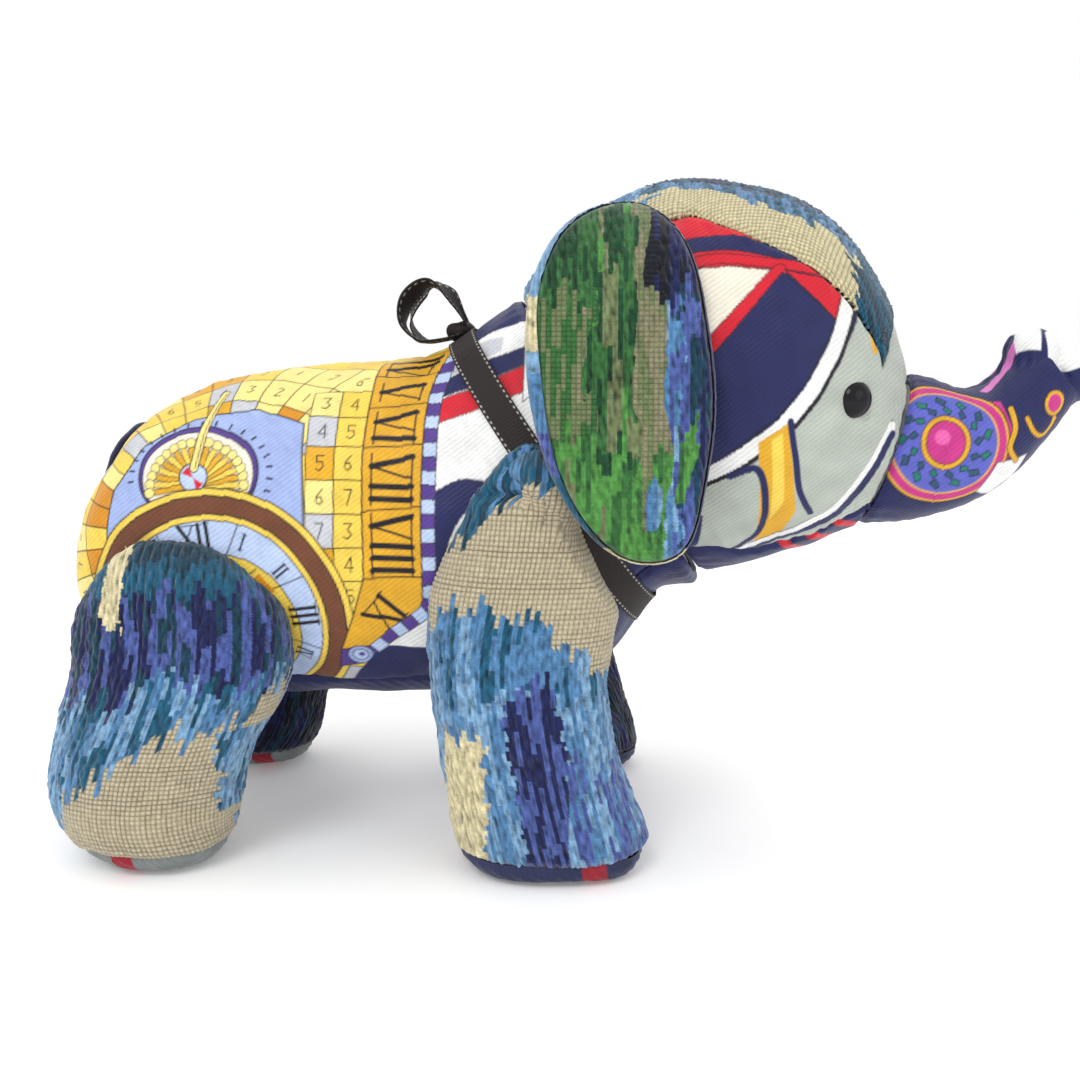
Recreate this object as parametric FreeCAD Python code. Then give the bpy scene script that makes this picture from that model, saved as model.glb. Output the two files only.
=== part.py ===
"""Stuffed patchwork elephant: printed silk body and head, woven pile legs, ears and forehead, tied ribbon.

Row frame: +X towards the trunk, +Y to the elephant's left, +Z up, millimetres.  The soles rest on z = 0.
Every stuffed volume is a tube of superellipse sections.  Its cover is the tube less the same tube inset by the
cloth's thickness, cut along the sewn seams, and its filling is the inset tube.
"""

import FreeCAD, Part
import math
import os

V = FreeCAD.Vector

# ---- driving dimensions -------------------------------------------------------------------------------------
X_ORIGIN = 13.75  # drawing x of the bounding box's middle, so that the exported part is centred on x = 0
SILK = 1.2  # silk twill with its interlining
PILE = 2.2  # ribbed pile weave
SECTION_POINTS = 16  # points on each superellipse section
BODY_SQUARENESS = 2.25  # superellipse exponent: 2 is an ellipse
LIMB_SQUARENESS = 2.3
FAR = 400.0  # larger than the part, for cutting blocks
SLIVER_VOLUME = 1.0  # a smaller piece left by a cut is dropped, in cubic millimetres

# Tube sections in the plane of symmetry: top x, top z, bottom x, bottom z, half width.
TORSO = [
    (-198.5, 130, -199.5, 106, 15),
    (-194, 143, -197, 90, 33),
    (-184.5, 159, -189, 76, 45),
    (-169, 176.5, -173, 65, 53),
    (-146, 189, -148, 59, 58),
    (-110, 197.5, -111, 56.5, 60),
    (-74, 200, -68, 56.5, 61),
    (-52, 202, -24, 57.5, 61),
    (-42, 205, 16, 63, 60),
    (-36.5, 207.5, 36, 79, 60),
    (-31, 211, 47, 97, 59),
    (-20, 219, 58, 105, 58),
    (-8, 228, 70, 110.5, 59),
]
HEAD = [
    TORSO[-1],
    (6, 247, 83, 113.5, 62),
    (28, 265, 94, 116, 65),
    (55, 274.5, 103, 119, 66),
    (85, 273.5, 110, 121, 64),
    (111, 265, 117, 123, 59),
    (131, 248, 123, 126, 51),
    (146, 222, 129, 129, 41),
    (154.5, 195, 136.5, 132, 30),
]
TRUNK = [
    HEAD[-1],
    (167, 194, 157, 133.5, 30),
    (183, 190, 188, 143, 27),
    (194.5, 197, 209, 161, 22),
    (205, 209, 225.5, 184, 17),
]
TRUNK_LIPS = [V(207.5, 0, 203), V(223.5, 0, 195.5)]  # centres of the two rounded lips at the trunk's end
LIP_RADII = (11.5, 15.0, 12.5)

# Leg sections on the elephant's right: z, back x, front x, outer y, inner y.
REAR_LEG = [
    (0, -168, -134, -79, -48),
    (2.5, -175, -129, -85, -42),
    (6, -181, -126, -88, -38),
    (12, -188, -124, -91, -35),
    (25, -194.5, -120.5, -92.5, -34),
    (45, -193.5, -114.5, -92, -36),
    (62, -189, -105.5, -92, -36),
    (78, -185, -98, -90, -38),
    (95, -183, -98, -86, -40),
    (110, -178, -106, -80, -44),
    (122, -169, -119, -72, -48),
    (130, -157, -133, -64, -52),
]
FRONT_LEG = [
    (0, -15, 38, -84, -46),
    (2.5, -24, 43, -88, -41),
    (6, -28.5, 45.5, -90, -38),
    (12, -31.5, 45.5, -91, -35),
    (27, -34, 41, -91, -34),
    (42, -35.5, 35.5, -89, -36),
    (67, -38.5, 30.5, -87, -38),
    (90, -41.5, 31, -83, -38),
    (110, -39.5, 34, -79, -38),
    (130, -33.5, 36, -73, -38),
    (150, -22.5, 30, -67, -38),
    (164, -11, 18, -62, -40),
    (171, -4, 8, -58, -46),
]
LEFT_REAR_ADVANCE = 6.0  # the left rear leg is sewn on this much further forwards
SOLE_SEAM_Z = 9.0  # height of the seam round each foot
SOLE_ROUNDING = 12.0  # the foot is rounded below this height

# Seams of the torso and head covers, as side-view lines: x, z.
BELLY_SEAM = [(-230, 98), (-190, 92), (-160, 72), (-100, 68), (-20, 69), (12, 80), (33, 104), (48, 120), (74, 128)]
CROWN_SEAM = [(-30, 222), (0, 232), (28, 252), (61, 259), (84, 250), (104, 240), (124, 225), (134, 211), (145, 190)]
CHIN_SEAM = [(60, 126), (90, 124), (112, 128), (128, 137), (142, 142)]

# Ears: their outline in side view, and the inner face's path from the hinge down: y, z.
EAR_OUTLINE = [(-1.5, 220), (-0.5, 190), (6.5, 163.5), (22, 138), (41, 126.5), (56.5, 129.5), (65.3, 151)]
EAR_OUTLINE += [(69.5, 185), (65.5, 221), (56.5, 249), (43, 260.5), (26, 260.5), (12, 252.5), (3, 238.5)]
EAR_INNER = [(-35, 268), (-42.5, 260.5), (-50, 252.5), (-57, 243), (-64.5, 222), (-70, 192), (-74, 160), (-76, 118)]
EAR_GAP = 0.1  # clear of the head's cloth
EAR_PADDING = 5.0

# Eyes: a moulded dome on a shank, held inside the head by a washer.
EYE_RADIUS = 7.5
EYE_HEIGHT = 5.6
EYE_PLACE = V(124.5, -48.6, 187)
EYE_YAW = 27.0  # degrees that the eye looks forwards of straight sideways
SHANK_RADIUS = 2.0
SHANK_LENGTH = 13.0
WASHER_RADIUS = 6.5
WASHER_THICKNESS = 1.6
WASHER_DEPTH = 6.0
SHANK_CLEARANCE = 0.15
DOME_CLEARANCE = 0.1
WASHER_CLEARANCE = 0.05
SEAT_RISE = 2.0  # the room cut for the dome reaches this far above it
SEAT_SINK = 0.01  # and this far below its flat
EYE_BLOCK = 20.0  # larger than the eye, for halving it

# Ribbon round the neck, in the plane through these two points, and its bow.
RIBBON_TOP = (-32.0, 210.0)
RIBBON_BOTTOM = (45.0, 98.5)
RIBBON_WIDTH = 12.7
RIBBON_GAP = 0.4
RIBBON_THICKNESS = 0.9
KNOT_CENTRE = V(-33, 0, 212)
KNOT_RADII = (8.0, 6.5, 5.0)
LOOP_OUTLINE = [(-31, 213), (-31.5, 221), (-37, 231), (-46, 236), (-56, 228), (-59, 215), (-56, 206), (-44, 208)]
LOOP_SPREAD = 12.0  # degrees that each loop fans out from the plane of symmetry
LOOP_GAP = 0.2  # half the space between the loops

# Tail: a folded silk strip from the top of the rump, with a knot at its end.
TAIL_ROUTE = [V(-170, 1, 172), V(-182, 2, 167.5), V(-189.5, 5, 159), V(-195, 9, 147), V(-199.5, 12, 133)]
TAIL_HALF_WIDTH = 6.5
TAIL_HALF_THICKNESS = 3.2
TAIL_KNOT = V(-203.4, 13, 126)
TAIL_KNOT_RADII = (4.1, 8.0, 9.5)
TAIL_GAP = 0.4  # the tail hangs this far off the rump


# ---- helpers --------------------------------------------------------------------------------------------------
def superellipse(angle, exponent):
    """Cosine and sine of an angle, pushed out towards a rounded square."""
    c, s = math.cos(angle), math.sin(angle)
    power = 2.0 / exponent
    return math.copysign(abs(c) ** power, c), math.copysign(abs(s) ** power, s)


def closed_wire(points):
    curve = Part.BSplineCurve()
    curve.interpolate(Points=points, PeriodicFlag=True)
    return Part.Wire([curve.toShape()])


def positive(solid):
    """The same solid with its faces pointing outwards."""
    if solid.Volume < 0:
        solid.reverse()
    return solid


def loft(wires):
    return positive(Part.makeLoft(wires, True, False))


def spine_tube(sections, inset=0.0, close_start=False):
    """A tube of sections that stand across the plane of symmetry, made smaller all round by inset."""
    wires = []
    for number, (top_x, top_z, low_x, low_z, half_width) in enumerate(sections):
        top, low = V(top_x, 0, top_z), V(low_x, 0, low_z)
        middle, half = (top + low) * 0.5, (top - low) * 0.5
        if close_start and number == 0:
            middle = middle + V(inset, 0, 0)
        half = half * ((half.Length - inset) / half.Length)
        points = []
        for k in range(SECTION_POINTS):
            up, side = superellipse(2 * math.pi * k / SECTION_POINTS, BODY_SQUARENESS)
            points.append(middle + half * up + V(0, -side * (half_width - inset), 0))
        wires.append(closed_wire(points))
    return loft(wires)


def upright_tube(sections, inset=0.0):
    """A leg: level sections, with those of the rounded sole raised and the top one lowered by inset too."""
    wires = []
    for number, (z, back, front, outer, inner) in enumerate(sections):
        if z < SOLE_ROUNDING:
            z = inset + z * (1 - inset / SOLE_ROUNDING)
        if number == len(sections) - 1:
            z = z - inset
        half_x, half_y = (front - back) / 2 - inset, (inner - outer) / 2 - inset
        points = []
        for k in range(SECTION_POINTS):
            along, across = superellipse(2 * math.pi * k / SECTION_POINTS, LIMB_SQUARENESS)
            points.append(V((front + back) / 2 + along * half_x, (inner + outer) / 2 + across * half_y, z))
        wires.append(closed_wire(points))
    return loft(wires)


def side_prism(outline, low_y=-FAR, high_y=FAR):
    """A side-view outline, x and z, pushed through the part from low_y to high_y."""
    points = [V(x, low_y, z) for x, z in outline]
    face = Part.Face(Part.makePolygon(points + points[:1]))
    return face.extrude(V(0, high_y - low_y, 0))


def below(line):
    return side_prism(line + [(line[-1][0], -FAR), (line[0][0], -FAR)])


def above(line):
    return side_prism(line + [(line[-1][0], FAR), (line[0][0], FAR)])


def half_space(side):
    """Everything on one side of the plane of symmetry: side is -1 for the right."""
    block = Part.makeBox(2 * FAR, FAR, 2 * FAR, V(-FAR, 0, -FAR))
    return block if side > 0 else block.mirror(V(0, 0, 0), V(0, 1, 0))


def slab(bottom_z, top_z):
    return Part.makeBox(2 * FAR, 2 * FAR, top_z - bottom_z, V(-FAR, -FAR, bottom_z))


def ellipsoid(centre, radii):
    ball = Part.makeSphere(1.0)
    matrix = FreeCAD.Matrix()
    matrix.scale(V(*radii))
    ball = ball.transformGeometry(matrix)
    ball.translate(centre)
    return ball


def mirrored(shape):
    return shape.mirror(V(0, 0, 0), V(0, 1, 0))


def solids_only(shape):
    """The solids of a boolean's result, without slivers."""
    solids = [s for s in shape.Solids if s.Volume > SLIVER_VOLUME]
    return solids[0] if len(solids) == 1 else Part.makeCompound(solids)


# ---- sub-parts ------------------------------------------------------------------------------------------------
def torso_parts():
    outer, core = spine_tube(TORSO), spine_tube(TORSO, SILK, close_start=True)
    cover, underside = outer.cut(core), below(BELLY_SEAM)
    sides = cover.cut(underside)
    return {
        "body_panel_right": sides.common(half_space(-1)),
        "body_panel_left": sides.common(half_space(1)),
        "belly_gusset": cover.common(underside),
        "torso_stuffing": core,
    }, outer


def trunk_solid(inset=0.0):
    shape = spine_tube(TRUNK, inset)
    for centre in TRUNK_LIPS:
        shape = shape.fuse(ellipsoid(centre, [radius - inset for radius in LIP_RADII]))
    return shape.removeSplitter()


def trunk_parts():
    outer, core = trunk_solid(), trunk_solid(SILK)
    cover = outer.cut(core)
    return {
        "trunk_panel_right": cover.common(half_space(-1)),
        "trunk_panel_left": cover.common(half_space(1)),
        "trunk_stuffing": core,
    }


def eye_solid(radius_growth=0.0, shank_only=False):
    """The right eye about its own axis: the dome looks along +Z and the shank points along -Z."""
    shank = Part.makeCylinder(SHANK_RADIUS + radius_growth, SHANK_LENGTH, V(0, 0, -SHANK_LENGTH))
    if shank_only:
        return shank
    dome = ellipsoid(V(0, 0, 0), (EYE_RADIUS, EYE_RADIUS, EYE_HEIGHT))
    dome = dome.common(Part.makeBox(2 * EYE_BLOCK, 2 * EYE_BLOCK, EYE_BLOCK, V(-EYE_BLOCK, -EYE_BLOCK, 0)))
    return dome.fuse(shank).removeSplitter()


def washer_solid(growth=0.0):
    bottom = -WASHER_DEPTH - WASHER_THICKNESS - growth
    return Part.makeCylinder(WASHER_RADIUS + growth, WASHER_THICKNESS + 2 * growth, V(0, 0, bottom))


def face_place(shape):
    """Moves a shape from the eye's own axis to the right cheek."""
    placed = shape.copy()
    placed.rotate(V(0, 0, 0), V(1, 0, 0), 90)
    placed.rotate(V(0, 0, 0), V(0, 0, 1), EYE_YAW)
    placed.translate(EYE_PLACE)
    return placed


def eye_parts():
    eye, shank = eye_solid(), eye_solid(SHANK_CLEARANCE, shank_only=True)
    washer = washer_solid().cut(shank)
    right = {"eye_right": face_place(eye), "eye_washer_right": face_place(washer)}
    left = {name.replace("right", "left"): mirrored(shape) for name, shape in right.items()}
    room = Part.makeCylinder(EYE_RADIUS + DOME_CLEARANCE, EYE_HEIGHT + SEAT_RISE, V(0, 0, -SEAT_SINK))
    hole = face_place(room.fuse([shank, washer_solid(WASHER_CLEARANCE)]))
    return {**right, **left}, [hole, mirrored(hole)]


def head_parts(holes):
    outer, core = spine_tube(HEAD), spine_tube(HEAD, SILK)
    cover = outer.cut(core)
    crown, chin = above(CROWN_SEAM), below(CHIN_SEAM)
    sides = cover.cut(crown).cut(chin)
    parts = {
        "head_panel_right": sides.common(half_space(-1)).cut(holes[0]),
        "head_panel_left": sides.common(half_space(1)).cut(holes[1]),
        "head_gusset": cover.common(crown),
        "chin_gusset": cover.common(chin),
        "head_stuffing": core.cut(holes[0]).cut(holes[1]),
    }
    return parts, outer


def ribbon_frame():
    """The neck plane's middle and its unit normal, towards the head."""
    top, low = V(RIBBON_TOP[0], 0, RIBBON_TOP[1]), V(RIBBON_BOTTOM[0], 0, RIBBON_BOTTOM[1])
    across = top - low
    normal = V(across.z, 0, -across.x)
    return (top + low) * 0.5, normal.normalize()


def neck_slab(start, end):
    """The space between two planes parallel to the ribbon's, measured from its middle towards the head."""
    middle, normal = ribbon_frame()
    block = Part.makeBox(2 * FAR, 2 * FAR, end - start, V(-FAR, -FAR, start))
    block.Placement = FreeCAD.Placement(middle, FreeCAD.Rotation(V(0, 0, 1), normal))
    return block


def leg_parts(name, sections, body, head, left_advance=0.0):
    """The two legs of a pair: a pile cover, a silk sole seamed to its lower edge, and the filling."""
    parts = {}
    seam_slab = slab(-SOLE_SEAM_Z, SOLE_SEAM_Z)
    behind_ribbon = neck_slab(-FAR, -RIBBON_WIDTH / 2 - RIBBON_GAP)
    for side, advance in (("right", 0.0), ("left", left_advance)):
        moved = [(z, back + advance, front + advance, outer, inner) for z, back, front, outer, inner in sections]
        outer, core = [
            upright_tube(moved, inset).cut(body).cut(head).common(behind_ribbon) for inset in (0.0, PILE)
        ]
        cover = outer.cut(core)
        shapes = {"leg_cover": cover.cut(seam_slab), "sole": cover.common(seam_slab), "leg_stuffing": core}
        for kind, shape in shapes.items():
            parts[f"{kind}_{name}_{side}"] = shape if side == "right" else mirrored(shape)
    return parts


def ear_block():
    """The ear's side-view outline, pushed right through the part."""
    outline = closed_wire([V(x, -FAR / 2, z) for x, z in EAR_OUTLINE])
    return positive(Part.Face(outline).extrude(V(0, FAR, 0)))


def curved_sheet(start, end):
    """The space between two copies of the ear's inner path, moved outwards by start and end."""
    inner = [V(-FAR, y - start, z) for y, z in EAR_INNER]
    outer = [V(-FAR, y - end, z) for y, z in EAR_INNER]
    curves = []
    for line in (inner, outer):
        curve = Part.BSplineCurve()
        curve.interpolate(line)
        curves.append(curve.toShape())
    ends = [Part.makeLine(inner[-1], outer[-1]), Part.makeLine(outer[0], inner[0])]
    wire = Part.Wire(Part.__sortEdges__([curves[0], ends[0], curves[1], ends[1]]))
    return Part.Face(wire).extrude(V(2 * FAR, 0, 0))


def ear_parts(head):
    outline = ear_block()
    layers = {
        "ear_lining_right": (0.0, PILE),
        "ear_padding_right": (PILE, PILE + EAR_PADDING),
        "ear_face_right": (PILE + EAR_PADDING, 2 * PILE + EAR_PADDING),
    }
    right = {name: curved_sheet(*span).common(outline).cut(head) for name, span in layers.items()}
    left = {name.replace("right", "left"): mirrored(shape) for name, shape in right.items()}
    return {**right, **left}


def ribbon_parts():
    inner = spine_tube(TORSO, -RIBBON_GAP)
    outer = spine_tube(TORSO, -RIBBON_GAP - RIBBON_THICKNESS)
    band = outer.cut(inner).common(neck_slab(-RIBBON_WIDTH / 2, RIBBON_WIDTH / 2))
    knot = ellipsoid(KNOT_CENTRE, KNOT_RADII).cut(outer)
    parts = {"ribbon_band": band, "ribbon_knot": knot}
    right = ribbon_loop().cut(knot).cut(outer).common(half_space(-1))
    parts["ribbon_loop_right"], parts["ribbon_loop_left"] = right, mirrored(right)
    return parts


def ribbon_loop():
    """The right loop of the bow: a closed band standing on edge, fanned out from the knot."""
    outline = [V(x, 0, z) for x, z in LOOP_OUTLINE]
    middle = sum(outline, V(0, 0, 0)) * (1 / len(outline))
    blocks = []
    for inset in (0.0, RIBBON_THICKNESS):
        points = [middle + (p - middle) * (1 - inset / (p - middle).Length) for p in outline]
        blocks.append(positive(Part.Face(closed_wire(points)).extrude(V(0, -RIBBON_WIDTH, 0))))
    band = blocks[0].cut(blocks[1])
    band.rotate(KNOT_CENTRE, V(0, 0, 1), LOOP_SPREAD)
    band.translate(V(0, -LOOP_GAP, 0))
    return band


def tail_parts():
    wires = []
    for number, place in enumerate(TAIL_ROUTE):
        before = TAIL_ROUTE[max(number - 1, 0)]
        after = TAIL_ROUTE[min(number + 1, len(TAIL_ROUTE) - 1)]
        along = (after - before).normalize()
        side = V(0, 1, 0)
        up = along.cross(side).normalize()
        side = up.cross(along)
        points = []
        for k in range(SECTION_POINTS):
            c, s = superellipse(2 * math.pi * k / SECTION_POINTS, LIMB_SQUARENESS)
            points.append(place + up * (c * TAIL_HALF_THICKNESS) + side * (s * TAIL_HALF_WIDTH))
        wires.append(closed_wire(points))
    knot, rump = ellipsoid(TAIL_KNOT, TAIL_KNOT_RADII), spine_tube(TORSO, -TAIL_GAP)
    return {"tail_strip": loft(wires).cut(knot).cut(rump), "tail_knot": knot}


def build():
    parts, body = torso_parts()
    eyes, holes = eye_parts()
    head, head_outer = head_parts(holes)
    ribbon = ribbon_parts()
    parts.update(head)
    parts.update(eyes)
    parts.update(trunk_parts())
    parts.update(leg_parts("rear", REAR_LEG, body, head_outer, LEFT_REAR_ADVANCE))
    parts.update(leg_parts("front", FRONT_LEG, body, head_outer))
    parts.update(ear_parts(spine_tube(HEAD, -EAR_GAP)))
    parts.update(ribbon)
    parts.update(tail_parts())
    return parts


def main():
    os.makedirs("parts", exist_ok=True)
    for name, shape in build().items():
        shape = solids_only(shape)
        shape.translate(V(-X_ORIGIN, 0, 0))
        print(f"{name:28s} valid={shape.isValid()} solids={len(shape.Solids)} volume={shape.Volume:9.0f}")
        shape.exportStep(f"parts/{name}.step")


main()
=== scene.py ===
"""Looks of the stuffed elephant: printed silk, woven pile, a grosgrain ribbon and glossy eyes.

Surfaces are sampled from the CAD covers by rays, made finer, and given seams, puckers and stitches.
Lengths in this script are millimetres in the CAD frame until a mesh is made.
"""

import math

import bmesh
import bpy
import numpy as np
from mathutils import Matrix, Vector
from mathutils.bvhtree import BVHTree


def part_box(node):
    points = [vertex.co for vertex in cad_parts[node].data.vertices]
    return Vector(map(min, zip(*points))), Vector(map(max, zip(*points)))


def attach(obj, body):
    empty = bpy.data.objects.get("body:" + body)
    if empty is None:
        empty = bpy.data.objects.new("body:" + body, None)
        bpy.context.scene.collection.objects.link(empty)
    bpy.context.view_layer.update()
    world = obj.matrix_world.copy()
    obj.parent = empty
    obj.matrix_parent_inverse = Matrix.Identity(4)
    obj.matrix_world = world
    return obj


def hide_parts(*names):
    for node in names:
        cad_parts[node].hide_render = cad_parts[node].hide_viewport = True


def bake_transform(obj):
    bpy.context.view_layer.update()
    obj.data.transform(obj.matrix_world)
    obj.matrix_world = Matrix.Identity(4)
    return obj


MM = 0.001
SIDES = {"right": 1.0, "left": -1.0}  # the right side is sampled, and the left is its mirror image
SILK_STEP = 0.6  # spacing of the mesh on silk
PILE_STEP = 0.5  # spacing of the mesh on pile weave
STITCH = 1.9  # pitch of the weave's stitches
TWILL = 0.85  # pitch of the silk's diagonal ribs
RIB = 0.7  # pitch of the ribbon's cross ribs
SEAM_DEPTH = 1.8
SEAM_WIDTH = 2.0
HEM = 2.2  # how far a panel's edge turns inwards behind its seam
GATHER_PITCH = 7.5  # spacing of the small gathers along a seam
COARSE_ANGLES = 96  # rays round each sampled section
MISSED = 5.0  # a ray that meets nothing is given this length until its neighbours correct it
CLOTH_UNIT = 100.0  # millimetres of cloth in one unit of the UV map
RIBBON_WIDTH = 12.7
EYE_RADIUS = 7.5
EYE_HEIGHT = 5.6
EYE_YAW = 27.0  # how far the eyes look forwards
EYE_PROUD = 0.8  # how far the dome stands out of its seat in the silk

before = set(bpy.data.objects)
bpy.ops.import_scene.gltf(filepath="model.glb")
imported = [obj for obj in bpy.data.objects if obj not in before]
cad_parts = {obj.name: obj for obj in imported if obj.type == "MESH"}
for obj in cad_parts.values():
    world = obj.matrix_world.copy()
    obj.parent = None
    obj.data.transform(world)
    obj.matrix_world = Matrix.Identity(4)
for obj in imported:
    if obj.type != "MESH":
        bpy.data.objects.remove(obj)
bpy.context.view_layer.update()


# ---- sampling the CAD surfaces ---------------------------------------------------------
class Shell:
    """The outside of some CAD nodes."""

    def __init__(self, *nodes):
        corners, faces, self.owner = [], [], []
        for node in nodes:
            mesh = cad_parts[node].data
            start = len(corners)
            corners += [v.co / MM for v in mesh.vertices]
            for polygon in mesh.polygons:
                faces.append([start + i for i in polygon.vertices])
                self.owner.append(node)
        self.tree = BVHTree.FromPolygons(corners, faces)

    def reach(self, centre, direction, far):
        """How far from centre the outermost surface lies along direction, and whose it is."""
        start = Vector(centre + direction * far)
        hit, _, face, distance = self.tree.ray_cast(start, Vector(-direction), far)
        if hit is None:
            return None, None
        return far - distance, self.owner[face]


def cubic_weights(t):
    return (
        ((-t + 2) * t - 1) * t / 2,
        ((3 * t - 5) * t * t + 2) / 2,
        ((-3 * t + 4) * t + 1) * t / 2,
        (t - 1) * t * t / 2,
    )


def smooth_rows(values, rows):
    """Values along the first axis at fractional rows, by a Catmull-Rom curve."""
    values = np.asarray(values, float)
    base = np.clip(np.floor(rows).astype(int), 0, len(values) - 2)
    weights = cubic_weights(rows - base)
    total = 0
    for shift, weight in zip((-1, 0, 1, 2), weights):
        index = np.clip(base + shift, 0, len(values) - 1)
        total = total + values[index] * weight.reshape(weight.shape + (1,) * (values.ndim - 1))
    return total


def smooth_grid(grid, rows, angles):
    """Points of a grid of rows by angles, closed in a ring, at fractional rows and angles in degrees."""
    count = grid.shape[1]
    column = np.asarray(angles) / 360.0 * count
    row_base = np.clip(np.floor(rows).astype(int), 0, grid.shape[0] - 2)
    column_base = np.floor(column).astype(int)
    row_weights, column_weights = cubic_weights(rows - row_base), cubic_weights(column - column_base)
    total = 0
    for i, row_weight in zip((-1, 0, 1, 2), row_weights):
        row = np.clip(row_base + i, 0, grid.shape[0] - 1)
        for j, column_weight in zip((-1, 0, 1, 2), column_weights):
            total = total + grid[row, (column_base + j) % count] * (row_weight * column_weight)[..., None]
    return total


class Tube:
    """A closed surface round a spine, as coarse rows of points.

    Each spine row is (x, y, z, lean of the section back from upright in degrees).  A cap is more rows
    round the same centre whose rays lean further and further along the spine, up to a pole.
    """

    def __init__(self, shell, spine, per_row=4, far=110.0, caps=(True, True), cap_rows=10):
        rows = np.linspace(0, len(spine) - 1, (len(spine) - 1) * per_row + 1)
        places = smooth_rows(np.array(spine, float), rows)
        cap = [90.0 * k / cap_rows for k in range(1, cap_rows + 1)]
        self.rows = []
        if caps[0]:
            self.rows += [(places[0], -lean) for lean in reversed(cap)]
        self.first_ring = len(self.rows)
        self.rows += [(place, 0.0) for place in places]
        self.last_ring = len(self.rows) - 1
        if caps[1]:
            self.rows += [(places[-1], lean) for lean in cap]
        self.angles = np.arange(COARSE_ANGLES) * 360.0 / COARSE_ANGLES
        self.shell, self.far = shell, far
        self.points = np.zeros((len(self.rows), COARSE_ANGLES, 3))
        self.owners = []
        for r in range(len(self.rows)):
            found = [self.cast(r, angle) for angle in self.angles]
            self.points[r] = [point for point, _ in found]
            self.owners.append([owner for _, owner in found])
        self.centres = np.array([place[:3] for place, _ in self.rows])

    def direction(self, row, angle):
        (_, _, _, tilt), lean = self.rows[row]
        tilt, lean, angle = math.radians(tilt), math.radians(lean), math.radians(angle)
        axis = np.array([math.cos(tilt), 0, math.sin(tilt)])
        up = np.array([-math.sin(tilt), 0, math.cos(tilt)])
        side = np.array([0, -1.0, 0])
        across = up * math.cos(angle) + side * math.sin(angle)
        return across * math.cos(lean) + axis * math.sin(lean)

    def cast(self, row, angle):
        centre, direction = self.rows[row][0][:3], self.direction(row, angle)
        distance, owner = self.shell.reach(centre, direction, self.far)
        return centre + direction * (MISSED if distance is None else distance), owner

    def edge(self, row, inside, low, high):
        """The angle from low to high at which the owner stops being in inside, found by halving."""
        for _ in range(9):
            middle = (low + high) / 2
            _, owner = self.cast(row, middle)
            if owner in inside:
                low = middle
            else:
                high = middle
        return (low + high) / 2

    def edges(self, inside, start=0.0, end=180.0):
        """For every row, where going from start to end leaves the nodes in inside."""
        found = []
        steps = np.linspace(start, end, 46)
        for row in range(len(self.rows)):
            previous, angle_found = start, None
            for angle in steps:
                _, owner = self.cast(row, angle)
                if owner not in inside:
                    angle_found = start if angle == start else self.edge(row, inside, previous, angle)
                    break
                previous = angle
            found.append(end if angle_found is None else angle_found)
        return np.array(found)


# ---- cloth patches ---------------------------------------------------------------------
class Patch:
    """A grid of points on a surface, with cloth coordinates s along the rows and t across, in mm."""

    def __init__(self, points, inside):
        self.points = points
        self.inside = inside  # a point on the inner side for each point, to tell which way is out
        self.measure()

    def measure(self):
        along = np.linalg.norm(np.diff(self.points, axis=0), axis=2)
        across = np.linalg.norm(np.diff(self.points, axis=1), axis=2)
        self.s = np.vstack([np.zeros((1, along.shape[1])), np.cumsum(along, axis=0)])
        self.t = np.hstack([np.zeros((across.shape[0], 1)), np.cumsum(across, axis=1)])
        self.first_edge, self.last_edge = self.t, self.t[:, -1:] - self.t
        self.start_edge, self.end_edge = self.s, self.s[-1:] - self.s

    def normals(self):
        du, dv = np.gradient(self.points, axis=0), np.gradient(self.points, axis=1)
        normal = np.cross(du, dv)
        length = np.linalg.norm(normal, axis=2, keepdims=True)
        normal = normal / np.maximum(length, 1e-9)
        outwards = self.points - self.inside
        flip = np.sign((normal * outwards).sum(axis=2, keepdims=True))
        flip[flip == 0] = 1
        normal = normal * flip
        bad = length[..., 0] < 1e-6
        normal[bad] = (outwards / np.maximum(np.linalg.norm(outwards, axis=2, keepdims=True), 1e-9))[bad]
        return normal

    def push(self, height):
        self.points = self.points + self.normals() * height[..., None]

    def mirrored(self):
        other = Patch.__new__(Patch)
        other.points, other.inside = self.points * [1, -1, 1], self.inside * [1, -1, 1]
        for name in ("s", "t", "first_edge", "last_edge", "start_edge", "end_edge", "cloth"):
            setattr(other, name, getattr(self, name))
        return other


def tube_patch(tube, row_from, row_to, low, high, step):
    """The part of a tube between two rows and between two angles, which are one for each coarse row."""
    middle = np.linspace(row_from, row_to, 60)
    path = smooth_grid(tube.points, middle, (smooth_rows(low, middle) + smooth_rows(high, middle)) / 2)
    length = np.linalg.norm(np.diff(path, axis=0), axis=1)
    reached = np.concatenate([[0], np.cumsum(length)])
    count = max(4, int(reached[-1] / step))
    rows = np.interp(np.linspace(0, reached[-1], count), reached, middle)
    widest = 0.0
    for row in np.linspace(row_from, row_to, 12):
        angles = np.linspace(smooth_rows(low, np.array([row]))[0], smooth_rows(high, np.array([row]))[0], 40)
        line = smooth_grid(tube.points, np.full(40, row), angles)
        widest = max(widest, np.linalg.norm(np.diff(line, axis=0), axis=1).sum())
    columns = max(4, int(widest / step))
    share = np.linspace(0, 1, columns)[None, :]
    low_edge, high_edge = smooth_rows(low, rows)[:, None], smooth_rows(high, rows)[:, None]
    angles = low_edge + (high_edge - low_edge) * share
    grid_rows = np.repeat(rows[:, None], columns, axis=1)
    points = smooth_grid(tube.points, grid_rows, angles)
    centres = smooth_rows(tube.centres, rows)[:, None, :] * np.ones((1, columns, 1))
    patch = Patch(points, centres)
    patch.rows, patch.angles = grid_rows, angles
    return patch


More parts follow.
